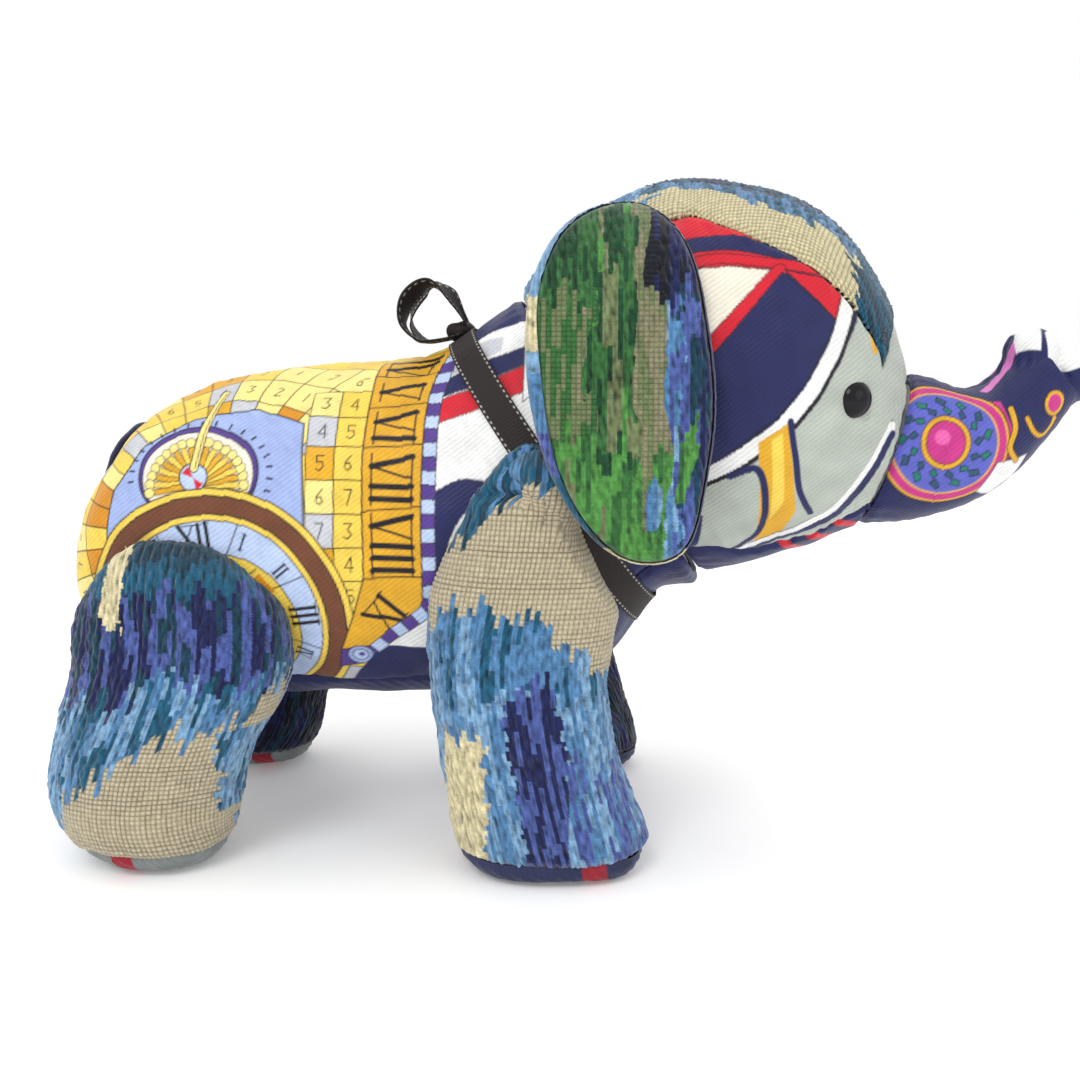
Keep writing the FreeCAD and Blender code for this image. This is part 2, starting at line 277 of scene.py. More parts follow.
# ---- soft detail -----------------------------------------------------------------------
def waves(points, wavelength, count, seed):
    """Smooth noise of about -1 to 1 over space, from a few crossing waves."""
    chance = np.random.default_rng(seed)
    total = np.zeros(points.shape[:-1])
    for _ in range(count):
        heading = chance.normal(size=3)
        heading *= 2 * math.pi / wavelength / np.linalg.norm(heading) * chance.uniform(0.7, 1.4)
        total += np.sin(points @ heading + chance.uniform(0, 2 * math.pi))
    return total / math.sqrt(count / 2) / 1.5


def seam_height(distance, along, depth=SEAM_DEPTH, pucker=0.35, seed=1):
    """A sewn edge: the cloth dives into the seam, with small gathers that fade away from it."""
    chance = np.random.default_rng(seed)
    gather = np.sin(along * 2 * math.pi / GATHER_PITCH + 2.2 * np.sin(along / 17.0 + chance.uniform(0, 6)))
    fade = np.exp(-distance / 7.0) * (1 - np.exp(-((distance / 2.5) ** 2)))
    return -depth * np.exp(-((distance / SEAM_WIDTH) ** 2)) + pucker * gather * fade


def linear(colour):
    """An sRGB colour of 0 to 255 in linear light."""
    c = np.array(colour, float) / 255.0
    return np.where(c <= 0.04045, c / 12.92, ((c + 0.055) / 1.055) ** 2.4)


# ---- meshes and materials --------------------------------------------------------------
def faces_inwards(points, normals):
    if normals is None:
        return False
    du, dv = np.gradient(points, axis=0), np.gradient(points, axis=1)
    return float((np.cross(du, dv) * normals).sum()) < 0


def weld(piece):
    """Joins points that lie on each other, where a grid closes."""
    mesh = bmesh.new()
    mesh.from_mesh(piece.data)
    bmesh.ops.remove_doubles(mesh, verts=mesh.verts, dist=0.000004)
    mesh.to_mesh(piece.data)
    mesh.free()


def make_piece(name, points, colour, material, body, replaced=(), cloth=None, hem=0.0,
               normals=None, closed=False):
    """A smooth mesh from a grid of points, with a colour for each and cloth coordinates as its UV map."""
    if hem:
        points, colour, cloth, normals = add_hem(points, colour, cloth, normals, hem)
    n, m = points.shape[:2]
    index = np.arange(n * m).reshape(n, m)
    quads = np.stack([index[:-1, :-1], index[1:, :-1], index[1:, 1:], index[:-1, 1:]], axis=-1).reshape(-1, 4)
    if faces_inwards(points, normals):
        quads = quads[:, ::-1]
    mesh = bpy.data.meshes.new(name)
    mesh.vertices.add(n * m)
    mesh.vertices.foreach_set("co", (points.reshape(-1, 3) * MM).astype(np.float32).ravel())
    mesh.loops.add(len(quads) * 4)
    mesh.loops.foreach_set("vertex_index", quads.astype(np.int32).ravel())
    mesh.polygons.add(len(quads))
    mesh.polygons.foreach_set("loop_start", np.arange(0, len(quads) * 4, 4, dtype=np.int32))
    mesh.polygons.foreach_set("loop_total", np.full(len(quads), 4, dtype=np.int32))
    mesh.polygons.foreach_set("use_smooth", np.ones(len(quads), dtype=bool))
    if cloth is not None:
        layer = mesh.uv_layers.new(name="cloth")
        uv = cloth.reshape(-1, 2)[quads.ravel()] / CLOTH_UNIT
        layer.data.foreach_set("uv", uv.astype(np.float32).ravel())
    tint = mesh.color_attributes.new(name="tint", type="FLOAT_COLOR", domain="POINT")
    rgba = np.ones((n * m, 4), np.float32)
    rgba[:, :3] = colour.reshape(-1, 3)
    tint.data.foreach_set("color", rgba.ravel())
    mesh.update()
    mesh.validate()
    piece = bpy.data.objects.new(name, mesh)
    bpy.context.scene.collection.objects.link(piece)
    mesh.materials.append(material)
    if closed:
        weld(piece)
    if body:
        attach(piece, body)
    if replaced:
        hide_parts(*replaced)
    return piece


def add_hem(points, colour, cloth, normals, depth):
    """One more row and column on each side, turned inwards behind the seam."""
    for axis in (0, 1):
        def edge(values, last):
            return np.take(values, [-1 if last else 0], axis=axis)

        start = edge(points, False) - edge(normals, False) * depth
        end = edge(points, True) - edge(normals, True) * depth
        points = np.concatenate([start, points, end], axis=axis)
        normals = np.concatenate([edge(normals, False), normals, edge(normals, True)], axis=axis)
        colour = np.concatenate([edge(colour, False), colour, edge(colour, True)], axis=axis)
        cloth = np.concatenate([edge(cloth, False), cloth, edge(cloth, True)], axis=axis)
    return points, colour, cloth, normals


class Nodes:
    """A short way to build a material's node tree."""

    def __init__(self, name):
        self.material = bpy.data.materials.new(name)
        self.material.use_nodes = True
        self.tree = self.material.node_tree
        self.surface = self.tree.nodes["Principled BSDF"]

    def add(self, kind, inputs=(), **settings):
        node = self.tree.nodes.new(kind)
        for key, value in settings.items():
            setattr(node, key, value)
        for key, value in dict(inputs).items():
            self.set(node, key, value)
        return node

    def set(self, node, key, value):
        if isinstance(value, bpy.types.NodeSocket):
            self.tree.links.new(value, node.inputs[key])
        else:
            node.inputs[key].default_value = value

    def math(self, operation, a, b=0.0):
        return self.add("ShaderNodeMath", {0: a, 1: b}, operation=operation).outputs[0]

    def noise(self, scale, detail, place=None, distortion=0.0):
        """Noise of 0 to 1, at place or over the piece."""
        inputs = {"Scale": scale, "Detail": detail, "Distortion": distortion}
        if place is not None:
            inputs["Vector"] = place
        return self.add("ShaderNodeTexNoise", inputs).outputs["Fac"]

    def ribs(self, pitch, place, distortion, **inputs):
        """Parallel ridges across place, pitch millimetres of cloth apart."""
        inputs = {"Vector": place, "Scale": CLOTH_UNIT / pitch / 6.2832, "Distortion": distortion, **inputs}
        return self.add("ShaderNodeTexWave", inputs, wave_type="BANDS", bands_direction="X").outputs["Fac"]

    def scaled(self, factor, amount, base):
        """base, and on top of it a factor of 0 to 1 times amount."""
        return self.math("ADD", self.math("MULTIPLY", factor, amount), base)

    def varied(self, base, factor, amount):
        """base, with a factor of 0 to 1 taken either side of its middle, times amount."""
        return self.math("ADD", base, self.math("MULTIPLY", self.math("SUBTRACT", factor, 0.5), amount))

    def tinted(self, shade):
        """The painted colour of the mesh times shade."""
        tint = self.add("ShaderNodeAttribute", attribute_name="tint").outputs["Color"]
        return self.add("ShaderNodeVectorMath", {0: tint, 1: shade}, operation="MULTIPLY").outputs[0]

    def ramp(self, factor, low, high):
        """A colour from low to high."""
        node = self.add("ShaderNodeValToRGB", {"Fac": factor})
        node.color_ramp.elements[0].color = (*low, 1)
        node.color_ramp.elements[1].color = (*high, 1)
        return node.outputs["Color"]

    def cloth(self):
        return self.add("ShaderNodeUVMap", uv_map="cloth").outputs["UV"]

    def bump(self, height, strength, distance):
        node = self.add("ShaderNodeBump", {"Height": height, "Strength": strength, "Distance": distance})
        self.set(self.surface, "Normal", node.outputs[0])

    def finish(self, colour, roughness, **others):
        """Sets the surface.  others are inputs of the shader, with _ for a space in their names."""
        self.set(self.surface, "Base Color", colour)
        self.set(self.surface, "Roughness", roughness)
        for key, value in others.items():
            self.set(self.surface, key.replace("_", " "), value)
        return self.material


def silk_material():
    """Diagonal ribs over the printed colour, with a soft satin sheen."""
    n = Nodes("printed silk twill")
    uv = n.cloth()
    turned = n.add("ShaderNodeMapping", {"Vector": uv, "Rotation": (0, 0, math.radians(52))}).outputs[0]
    ribs = n.ribs(TWILL, turned, 0.6, **{"Detail": 2.0, "Detail Scale": 2.0})
    slub, wear = n.noise(60.0, 4.0, uv), n.noise(7.0, 5.0, uv)
    # painted shade and light: the colour is darker in the grooves of the ribs and lighter on the raised slubs, as
    # the bump is; wear is random tone of the cloth
    shade = n.varied(n.varied(n.scaled(ribs, 0.14, 0.82), slub, 0.16), wear, 0.14)
    n.bump(n.math("ADD", ribs, n.math("MULTIPLY", slub, 0.6)), 0.35, 0.00025)
    return n.finish(n.tinted(shade), n.scaled(slub, 0.2, 0.38), Specular_IOR_Level=0.26, Sheen_Weight=0.05,
                    Sheen_Roughness=0.4)


def pile_material():
    """Woven wool pile: fuzzy, matte, with fine fibre noise."""
    n = Nodes("woven pile")
    place = n.add("ShaderNodeTexCoord").outputs["Object"]
    fibre, tuft = n.noise(2600.0, 3.0, place), n.noise(700.0, 3.0, place)
    # painted shade: the colour is darker where the fibre and tuft noise is low, in the dips of the same bump
    shade = n.varied(n.scaled(fibre, 0.7, 0.52), tuft, 0.5)
    n.bump(n.math("ADD", fibre, tuft), 0.6, 0.0005)
    return n.finish(n.tinted(shade), 0.9, Specular_IOR_Level=0.15, Sheen_Weight=0.35, Sheen_Roughness=0.5)


def ribbon_material():
    """Grosgrain: cross ribs, dull, with the edge stitches in the tint."""
    n = Nodes("grosgrain ribbon")
    uv = n.cloth()
    ribs, slub = n.ribs(RIB, uv, 0.3), n.noise(90.0, 3.0, uv)
    n.bump(ribs, 0.5, 0.0002)
    # painted shade: the colour is darker in the grooves between the ribs, as the bump is; slub is random tone of
    # the ribbon
    return n.finish(n.tinted(n.varied(n.scaled(ribs, 0.25, 0.80), slub, 0.3)), 0.62, Specular_IOR_Level=0.25)


def eye_material():
    """Polished black plastic with faint mould flow and dust."""
    n = Nodes("polished eye plastic")
    dust = n.noise(900.0, 3.0)
    colour = n.ramp(dust, (0.002, 0.002, 0.003), (0.012, 0.012, 0.014))
    return n.finish(colour, n.scaled(dust, 0.06, 0.02), Specular_IOR_Level=0.2)


def plastic_material():
    """Pale moulded plastic for the washers."""
    n = Nodes("moulded washer plastic")
    grain = n.noise(1500.0, 3.0)
    n.bump(grain, 0.15, 0.0001)
    return n.finish((0.78, 0.77, 0.73, 1), n.scaled(grain, 0.2, 0.4))


def filling_material():
    """White fibre filling: tangled strands."""
    n = Nodes("fibre filling")
    strands = n.noise(260.0, 6.0, distortion=2.5)
    n.bump(strands, 0.8, 0.001)
    # painted shade: the filling is greyer where the strands noise is low, in the dips of the same bump
    return n.finish(n.ramp(strands, (0.66, 0.66, 0.64), (0.93, 0.93, 0.92)), 0.95, Sheen_Weight=0.4)


SILK, PILE, RIBBON = silk_material(), pile_material(), ribbon_material()
EYE, PLASTIC, FILLING = eye_material(), plastic_material(), filling_material()


# ---- where things are ------------------------------------------------------------------
# Spine of the torso, head and trunk: x, y, z, and how far its sections lean back, in degrees.
TORSO_SPINE = [
    (-185.75, 0, 120, 0), (-123.75, 0, 127, 0), (-51.75, 0, 130, 11), (-26.75, 0, 134, 22.3),
    (-5.75, 0, 154, 34.4), (16.8, 0, 168.7, 33.6),
]
HEAD_SPINE = [
    (17.7, 0, 169.3, 33.6), (47.25, 0, 190.5, 23.9), (65.25, 0, 196.7, 17.1), (83.75, 0, 197, 9.3),
    (100.25, 0, 194, 2.4), (113.25, 0, 187, -3.8), (123.75, 0, 175.5, -10.4), (131.3, 0, 163.65, -16),
]
TRUNK_SPINE = [
    (132.2, 0, 163.35, -16), (148.25, 0, 163.7, -9.4), (171.75, 0, 166.5, 6.1), (188.05, 0, 179, 21.9),
    (201.45, 0, 196.5, 39.3),
]
REAR_SPINE = [
    (-168.75, -63, 9, 90), (-171.25, -63, 25, 90), (-167.75, -64, 45, 90), (-161, -64, 62, 90),
    (-155.25, -64, 78, 90), (-154.25, -63, 95, 90), (-155.75, -62, 110, 90), (-157.75, -61, 122, 90),
    (-158.75, -60, 127.5, 90),
]
FRONT_SPINE = [
    (-6, -63, 9, 90), (-10.25, -62.5, 27, 90), (-13.75, -62.5, 42, 90), (-17.75, -62, 67, 90),
    (-19, -60.5, 90, 90), (-16.5, -60, 110, 90), (-12.5, -60, 130, 90), (-10, -59.5, 150, 90),
    (-9, -59, 160, 90),
]
TRUNK_REACH = 60.0
CAP_UNROLL = 0.6  # how much of a cap's own length is added to the side view
LEFT_REAR_SHIFT = 6.0  # the left rear leg stands this much further forwards
EYE_DIMPLE = 2.4  # the silk is drawn in round each eye


def ring_fill(tube):
    """Gives the rays that missed a cover, inside the body, a radius between their neighbours'."""
    radii = np.linalg.norm(tube.points - tube.centres[:, None, :], axis=2)
    found = np.array([[owner is not None for owner in row] for row in tube.owners])
    angles = tube.angles
    for row in range(len(radii)):
        good = found[row]
        if good.sum() < 4:
            previous = radii[row - 1] if row else np.full(COARSE_ANGLES, 10.0)
            radii[row] = previous * 0.85
        elif not good.all():
            known = np.concatenate([angles[good] - 360, angles[good], angles[good] + 360])
            values = np.tile(radii[row][good], 3)
            order = np.argsort(known)
            radii[row] = np.interp(angles, known[order], values[order])
        for column, angle in enumerate(angles):
            tube.points[row, column] = tube.centres[row] + tube.direction(row, angle) * radii[row, column]


def side_view(tube, patch):
    """Cloth coordinates: the side view's x and z, unrolled where the surface turns away."""
    middle_rows = patch.rows[:, 0]
    centre_line = smooth_grid(tube.points, middle_rows, np.full(len(middle_rows), 90.0))
    u, v = patch.points[..., 0].copy(), patch.points[..., 2].copy()
    nearest = [tube.rows[min(int(round(row)), len(tube.rows) - 1)] for row in middle_rows]
    tilt = np.array([math.radians(row[0][3]) for row in nearest])
    up = np.stack([-np.sin(tilt), np.cos(tilt)], axis=1)
    column = np.abs(patch.angles - 90.0).argmin(axis=1)
    # angles grow downwards, and this grows upwards
    here = np.take_along_axis(patch.t, column[:, None], axis=1) - patch.t
    flat = patch.points[..., [0, 2]] - centre_line[:, None, [0, 2]]
    height = (flat * up[:, None, :]).sum(axis=2)
    ring = (middle_rows >= tube.first_ring) & (middle_rows <= tube.last_ring)
    extra = np.where(ring[:, None], here - height, 0.0)
    first, last = np.flatnonzero(ring)[[0, -1]]
    if first > 0:
        extra[:first] = extra[first] * np.linspace(0, 1, first + 1)[:-1, None]
        u[:first] = u[first] - (patch.s[first] - patch.s[:first])
    if last < len(ring) - 1:
        extra[last + 1:] = extra[last] * np.linspace(1, 0, len(ring) - last)[1:, None]
        axis = np.array([math.cos(tilt[last]), math.sin(tilt[last])])
        reach = (patch.points[last + 1:] - patch.points[last])[..., [0, 2]] @ axis
        beyond = patch.s[last + 1:] - patch.s[last] - reach
        u[last + 1:] += beyond * axis[0] * CAP_UNROLL
        v[last + 1:] += beyond * axis[1] * CAP_UNROLL
    u += up[:, 0:1] * extra
    v += up[:, 1:2] * extra
    return np.stack([u, v], axis=2)


def soften(patch, seed, lump=0.9, seams=("first", "last"), depth=SEAM_DEPTH, pucker=0.35):
    """Gives a silk or pile patch its lumps, and dives it into the seams along the named edges."""
    height = lump * waves(patch.points, 46.0, 9, seed) + 0.35 * lump * waves(patch.points, 17.0, 9, seed + 50)
    for name in seams:
        distance = {"first": patch.first_edge, "last": patch.last_edge, "start": patch.start_edge,
                    "end": patch.end_edge}[name]
        along = patch.s if name in ("first", "last") else patch.t
        height = height + seam_height(distance, along, depth, pucker, seed + len(name))
    patch.push(height)


def padded_piece(name, patch, colour, material, node, hem=HEM, body="toy"):
    """A padded piece from a patch, which stands for one CAD node."""
    piece = make_piece(name, patch.points, colour, material, body, [node], patch.cloth, hem=hem,
                       normals=patch.normals())
    return piece


def on_side(patch, side):
    """The right side's patch, or its mirror image."""
    return patch if side == "right" else patch.mirrored()


def both_sides(name, patch, colour, node):
    """The right panel of silk and its mirror image."""
    for side in SIDES:
        padded_piece(f"{name}_{side}", on_side(patch, side), colour, SILK, f"{node}_{side}")


# ---- torso -----------------------------------------------------------------------------
def build_torso():
    shell = Shell("body_panel_right", "body_panel_left", "belly_gusset")
    tube = Tube(shell, TORSO_SPINE, caps=(True, False))
    ring_fill(tube)
    belly = tube.edges({"body_panel_right", "body_panel_left"})
    top = np.zeros(len(tube.rows))
    side = tube_patch(tube, 0, tube.last_ring, top, belly, SILK_STEP)
    side.cloth = side_view(tube, side)
    soften(side, 11, seams=("first", "last", "end"))
    both_sides("body_silk", side, paint_body(side.cloth), "body_panel")
    first = max(0, int(np.flatnonzero(belly < 179.0)[0]) - 1)
    under = tube_patch(tube, first, tube.last_ring, np.minimum(belly, 179.9), 360 - np.minimum(belly, 179.9),
                       SILK_STEP * 1.3)
    under.cloth = np.stack([under.s, under.t], axis=2)
    soften(under, 17, seams=("first", "last", "end"))
    padded_piece("belly_silk", under, paint_navy(under.cloth), SILK, "belly_gusset")
    return tube


def chin_edge(tube, row, crown_edge):
    """The angle at which a walk up from the bottom of a row leaves the chin."""
    for angle in np.linspace(180, crown_edge + 3, 60):
        _, owner = tube.cast(row, angle)
        if owner not in ("chin_gusset", None):
            return angle
    return 180.0


def build_head():
    shell = Shell("head_panel_right", "head_panel_left", "head_gusset", "chin_gusset")
    tube = Tube(shell, HEAD_SPINE, caps=(False, False))
    ring_fill(tube)
    crown = tube.edges({"head_gusset"})
    crown_start = np.flatnonzero(crown > 0.5)[0]
    crown[:crown_start] = crown[crown_start]  # at the neck's cut edge the rays meet no cover
    low = np.array([chin_edge(tube, row, crown[row]) for row in range(len(tube.rows))])
    chin_start = np.flatnonzero(low < 179.5)[0]
    low[:chin_start] = low[chin_start]
    last = tube.last_ring
    cheek = tube_patch(tube, 0, last, crown, low, SILK_STEP)
    cheek.cloth = side_view(tube, cheek)
    soften(cheek, 23, seams=("first", "last", "start", "end"))
    from_eye = np.linalg.norm(cheek.points - centre_of("eye_right"), axis=2)
    cheek.push(-EYE_DIMPLE * np.exp(-((from_eye / 9.0) ** 2)))
    both_sides("cheek_silk", cheek, paint_head(cheek.cloth), "head_panel")
    crown_end = min(np.flatnonzero(crown > 0.5)[-1] + 1, last)
    gusset = tube_patch(tube, 0, crown_end, -crown, crown, PILE_STEP)
    gusset.cloth = side_view(tube, gusset)
    gusset.across = gusset.angles / np.maximum(np.abs(gusset.angles).max(axis=1, keepdims=True), 1e-6)
    soften(gusset, 29, lump=0.6, seams=("first", "last", "start"), depth=1.4)
    colour, relief = paint_crown(gusset)
    gusset.push(relief * np.clip(gusset.t[:, -1:] / 30, 0.15, 1))
    padded_piece("crown_pile", gusset, colour, PILE, "head_gusset")
    chin_end = min(np.flatnonzero(low < 179.5)[-1] + 1, last)
    under = tube_patch(tube, 0, chin_end, low, 360 - low, SILK_STEP * 1.2)
    under.cloth = np.stack([under.s, under.t], axis=2)
    soften(under, 31, lump=0.5, seams=("first", "last", "start", "end"))
    padded_piece("chin_silk", under, paint_chin(under.cloth), SILK, "chin_gusset")
    return tube


def build_trunk():
    shell = Shell("trunk_panel_right", "trunk_panel_left")
    tube = Tube(shell, TRUNK_SPINE, caps=(False, True), far=TRUNK_REACH, cap_rows=14)
    ring_fill(tube)
    count = len(tube.rows)
    side = tube_patch(tube, 0, count - 1, np.zeros(count), np.full(count, 180.0), SILK_STEP)
    side.cloth = side_view(tube, side)
    soften(side, 37, lump=0.4, seams=("first", "last", "start"), depth=1.2, pucker=0.3)
    both_sides("trunk_silk", side, paint_trunk(side.cloth), "trunk_panel")
    return tube


def build_leg(which, spine, side):
    nodes = (f"leg_cover_{which}_{side}", f"sole_{which}_{side}")
    sign = SIDES[side]
    shift = LEFT_REAR_SHIFT if (which, side) == ("rear", "left") else 0.0
    places = [(x + shift, y * sign, z, tilt) for x, y, z, tilt in spine]
    tube = Tube(Shell(*nodes), places, per_row=3, far=80.0, caps=(True, True), cap_rows=6)
    ring_fill(tube)
    seam = tube.first_ring
    count = len(tube.rows)
    whole_low, whole_high = np.zeros(count), np.full(count, 360.0)
    cover = tube_patch(tube, seam, count - 1, whole_low, whole_high, PILE_STEP)
    outer = 180.0 - 90.0 * sign
    start = np.array([np.interp(outer, angles, t) for angles, t in zip(cover.angles, cover.t)])
    cover.cloth = np.stack([cover.t - start[:, None], cover.points[..., 2]], axis=2)
    soften(cover, 41 + len(which) + int(sign), lump=0.8, seams=("start",), depth=1.5)
    colour, relief = paint_leg(which, side, cover)
    # a front leg's top lies on the body's silk
    over_body = 2.2 * np.clip((cover.points[..., 2] - 120) / 25, 0, 1) if which == "front" else 0.3
    cover.push(relief + over_body)
    close_ring(cover, colour)
    padded_piece(f"leg_pile_{which}_{side}", cover, colour, PILE, nodes[0], 1.6)
    sole = tube_patch(tube, 0, seam, whole_low, whole_high, SILK_STEP)
    sole.cloth = sole.points[..., :2].copy()
    soften(sole, 43 + len(which), lump=0.4, seams=("end",), depth=1.2)
    sole.points[..., 2] = np.maximum(sole.points[..., 2], 0.0)
    close_ring(sole, None)
    padded_piece(f"sole_silk_{which}_{side}", sole, paint_sole(sole, which), SILK, nodes[1], 0.0)
    build_filling(f"filling_leg_{which}_{side}", f"leg_stuffing_{which}_{side}", tube, 109 + seam, inset=4.5)


def close_ring(patch, colour):
    """Joins a ring's last column to its first."""
    patch.points[:, [0, -1]] = (patch.points[:, [0]] + patch.points[:, [-1]]) / 2
    if colour is not None:
        colour[:, -1] = colour[:, 0]


# ---- ears ------------------------------------------------------------------------------
def hull(points):
    """The convex outline round some flat points."""
    points = sorted(set(map(tuple, np.round(points, 3))))

    def half(order):
        line = []
        for p in order:
            while len(line) > 1 and ((line[-1][0] - line[-2][0]) * (p[1] - line[-2][1])
                                     - (line[-1][1] - line[-2][1]) * (p[0] - line[-2][0])) <= 0:
                line.pop()
            line.append(p)
        return line[:-1]

    return np.array(half(points) + half(points[::-1]))


EAR_HALF_THICKNESS = 4.6
EAR_ROUNDING = 8.0
EAR_RADIUS = 55.0
EAR_CENTRE = (20.0, 195.0)  # x and z
LINING_ROLL = 9.0  # the rolled edge goes on this far behind the rim
WADDING_INSET = 4.5
WADDING_SHARE = 0.62  # of the ear's thickness


class Ear:
    """The right ear: a padded pillow hanging from its sewn top edge."""

    def __init__(self):
        corners = []
        for node in ("ear_face_right", "ear_lining_right"):
            corners += [v.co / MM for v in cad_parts[node].data.vertices]
        corners = np.array([tuple(c) for c in corners])
        self.outline = hull(corners[:, [0, 2]])
        self.centre = np.array(EAR_CENTRE)
        self.face, self.lining = Shell("ear_face_right"), Shell("ear_lining_right")
        self.heights = np.linspace(128, 261, 40)
        middle = []
        for z in self.heights:
            outer = self.face.tree.ray_cast(Vector((EAR_CENTRE[0], -200, z)), Vector((0, 1, 0)))[0]
            inner = self.lining.tree.ray_cast(Vector((EAR_CENTRE[0], 20, z)), Vector((0, -1, 0)))[0]
            middle.append((outer.y + inner.y) / 2 if outer and inner else np.nan)
        middle = np.array(middle)
        good = ~np.isnan(middle)
        self.middle = np.interp(self.heights, self.heights[good], middle[good])
        self.slope = np.gradient(self.middle, self.heights)

    def reach(self, angle):
        """Distance from the centre to the outline at each angle."""
        a, b = self.outline, np.roll(self.outline, -1, axis=0)
        result = np.zeros(angle.shape)
        for i, theta in np.ndenumerate(angle):
            d = np.array([math.cos(theta), math.sin(theta)])
            edge = b - a
            cross = d[0] * edge[:, 1] - d[1] * edge[:, 0]
            offset = a - self.centre
            with np.errstate(divide="ignore", invalid="ignore"):
                r = (offset[:, 0] * edge[:, 1] - offset[:, 1] * edge[:, 0]) / cross
                along = (offset[:, 0] * d[1] - offset[:, 1] * d[0]) / cross
            hit = (r > 0) & (along >= -1e-6) & (along <= 1 + 1e-6)
            result[i] = r[hit].max()
        return result

    def rim(self, step):
        """Angles round the ear, about step apart at the rim, and the smoothed distance to the rim at each."""
        count = int(2 * math.pi * EAR_RADIUS / step)
        theta = np.linspace(0, 2 * math.pi, count + 1)
        reach = self.reach(theta[:-1])
        reach = np.convolve(np.concatenate([reach[-4:], reach, reach[:4]]), np.ones(9) / 9, "valid")
        reach = np.concatenate([reach, reach[:1]])
        return theta, reach

    def place(self, theta, inset, reach, lift):
        """Points at a distance in from the rim, lifted off the middle surface along its normal."""
        radius = np.maximum(reach - inset, 0.0)
        x = self.centre[0] + radius * np.cos(theta)
        z = self.centre[1] + radius * np.sin(theta)
        y = np.interp(z, self.heights, self.middle)
        slope = np.interp(z, self.heights, self.slope)
        length = np.sqrt(1 + slope * slope)
        return np.stack([x, y - lift / length, z + lift * slope / length], axis=-1)


def ear_lift(inset, lump):
    share = np.clip(1 - inset / EAR_ROUNDING, 0, 1)
    return EAR_HALF_THICKNESS * np.sqrt(np.maximum(1 - share * share, 0)) + lump


def build_ears():
    ear = Ear()
    theta, reach = ear.rim(PILE_STEP)
    seam = ear_seam_inset(theta)
    build_ear_face(ear, theta, reach, seam)
    build_ear_lining(ear, theta, reach, seam)
    build_ear_wadding(ear, theta, reach)


def build_ear_face(ear, theta, reach, seam):
    """The woven front, from its seam to the middle."""
    share = np.linspace(0, 1, int(reach.max() / PILE_STEP))[:, None]
    inset = reach[None, :] - (reach - seam)[None, :] * share
    face = make_ear_patch(ear, theta, reach, inset, 1.0, 61)
    colour, relief = paint_ear(face)
    distance = np.maximum(inset - seam[None, :], 0)
    face.push(relief * np.clip(distance / 2.0, 0, 1) - 0.7 * np.exp(-((distance / 1.1) ** 2)))
    hang("ear_pile", face, colour, PILE, "ear_face")


def build_ear_lining(ear, theta, reach, seam):
    """The back, which rolls round the rim to the face's seam."""
    whole = np.ones_like(reach)[None, :]
    rim = np.linspace(0, 1, int(26 / PILE_STEP))[:, None]
    in_front = rim < 0.3
    inset_rim = np.where(in_front, seam[None, :] * (1 - rim / 0.3), LINING_ROLL * (rim - 0.3) / 0.7)
    back_share = np.linspace(0, 1, int(60 / SILK_STEP))[1:, None]
    inset_back = LINING_ROLL + (reach[None, :] - LINING_ROLL) * back_share
    inset = np.vstack([inset_rim * whole, inset_back])
    outwards = np.vstack([np.where(in_front, 1.0, -1.0) * whole, -np.ones_like(inset_back)])
    lining = make_ear_patch(ear, theta, reach, inset, outwards, 67)
    lining.back = np.vstack([np.zeros(inset_rim.shape), np.ones(inset_back.shape)]) > 0
    colour, relief = paint_lining(lining)
    lining.push(relief * np.clip(inset / 2.0, 0.2, 1))
    hang("ear_lining_pile", lining, colour, PILE, "ear_lining")


def build_ear_wadding(ear, theta, reach):
    """The pad inside, coarser than the covers."""
    share = np.linspace(0, 1, 40)[:, None]
    front = reach[None, :] - (reach[None, :] - WADDING_INSET) * share
    back = WADDING_INSET + (reach[None, :] - WADDING_INSET) * share[1:]
    outwards = np.vstack([np.ones(front.shape), -np.ones(back.shape)])
    pad = make_ear_patch(ear, theta, reach, np.vstack([front, back]), outwards * WADDING_SHARE, 71)
    hang("ear_wadding", pad, np.ones(pad.points.shape), FILLING, "ear_padding", every=4)


def hang(name, patch, colour, material, node, every=1):
    """A padded layer of each ear, whose top edge is sewn to the head."""
    for side, sign in SIDES.items():
        one = on_side(patch, side)
        normals = one.normals()[:, ::every]
        piece = make_piece(f"{name}_{side}", one.points[:, ::every], colour[:, ::every], material, None,
                           [f"{node}_{side}"], patch.cloth[:, ::every], normals=normals)
        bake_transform(piece)


def make_ear_patch(ear, theta, reach, inset, outwards, seed):
    grid_theta = np.ones((inset.shape[0], 1)) * theta[None, :]
    grid_reach = np.ones((inset.shape[0], 1)) * reach[None, :]
    flat = ear.place(grid_theta, inset, grid_reach, 0.0)
    lump = 0.7 * waves(flat, 40.0, 9, seed) * np.clip(inset / 8.0, 0, 1)
    points = ear.place(grid_theta, inset, grid_reach, outwards * ear_lift(inset, lump))
    middle = ear.place(grid_theta, np.maximum(inset, EAR_ROUNDING), grid_reach, 0.0)
    points[:, -1] = points[:, 0]
    patch = Patch(points, middle)
    patch.cloth = points[..., [0, 2]].copy()
    patch.inset = inset
    return patch


def ear_seam_inset(theta):
    """How far in from the rim the face is sewn: more along the back edge, where the lining rolls round."""
    back = np.clip(-np.cos(theta), 0, 1) ** 0.7
    return 1.0 + 4.6 * back


# ---- ribbon ----------------------------------------------------------------------------
BAND_TILT = 34.6
BAND_CENTRE = (-7.25, 0, 154.25)
BAND_SAMPLED = 5.6  # the band is sampled this far either side of its middle line
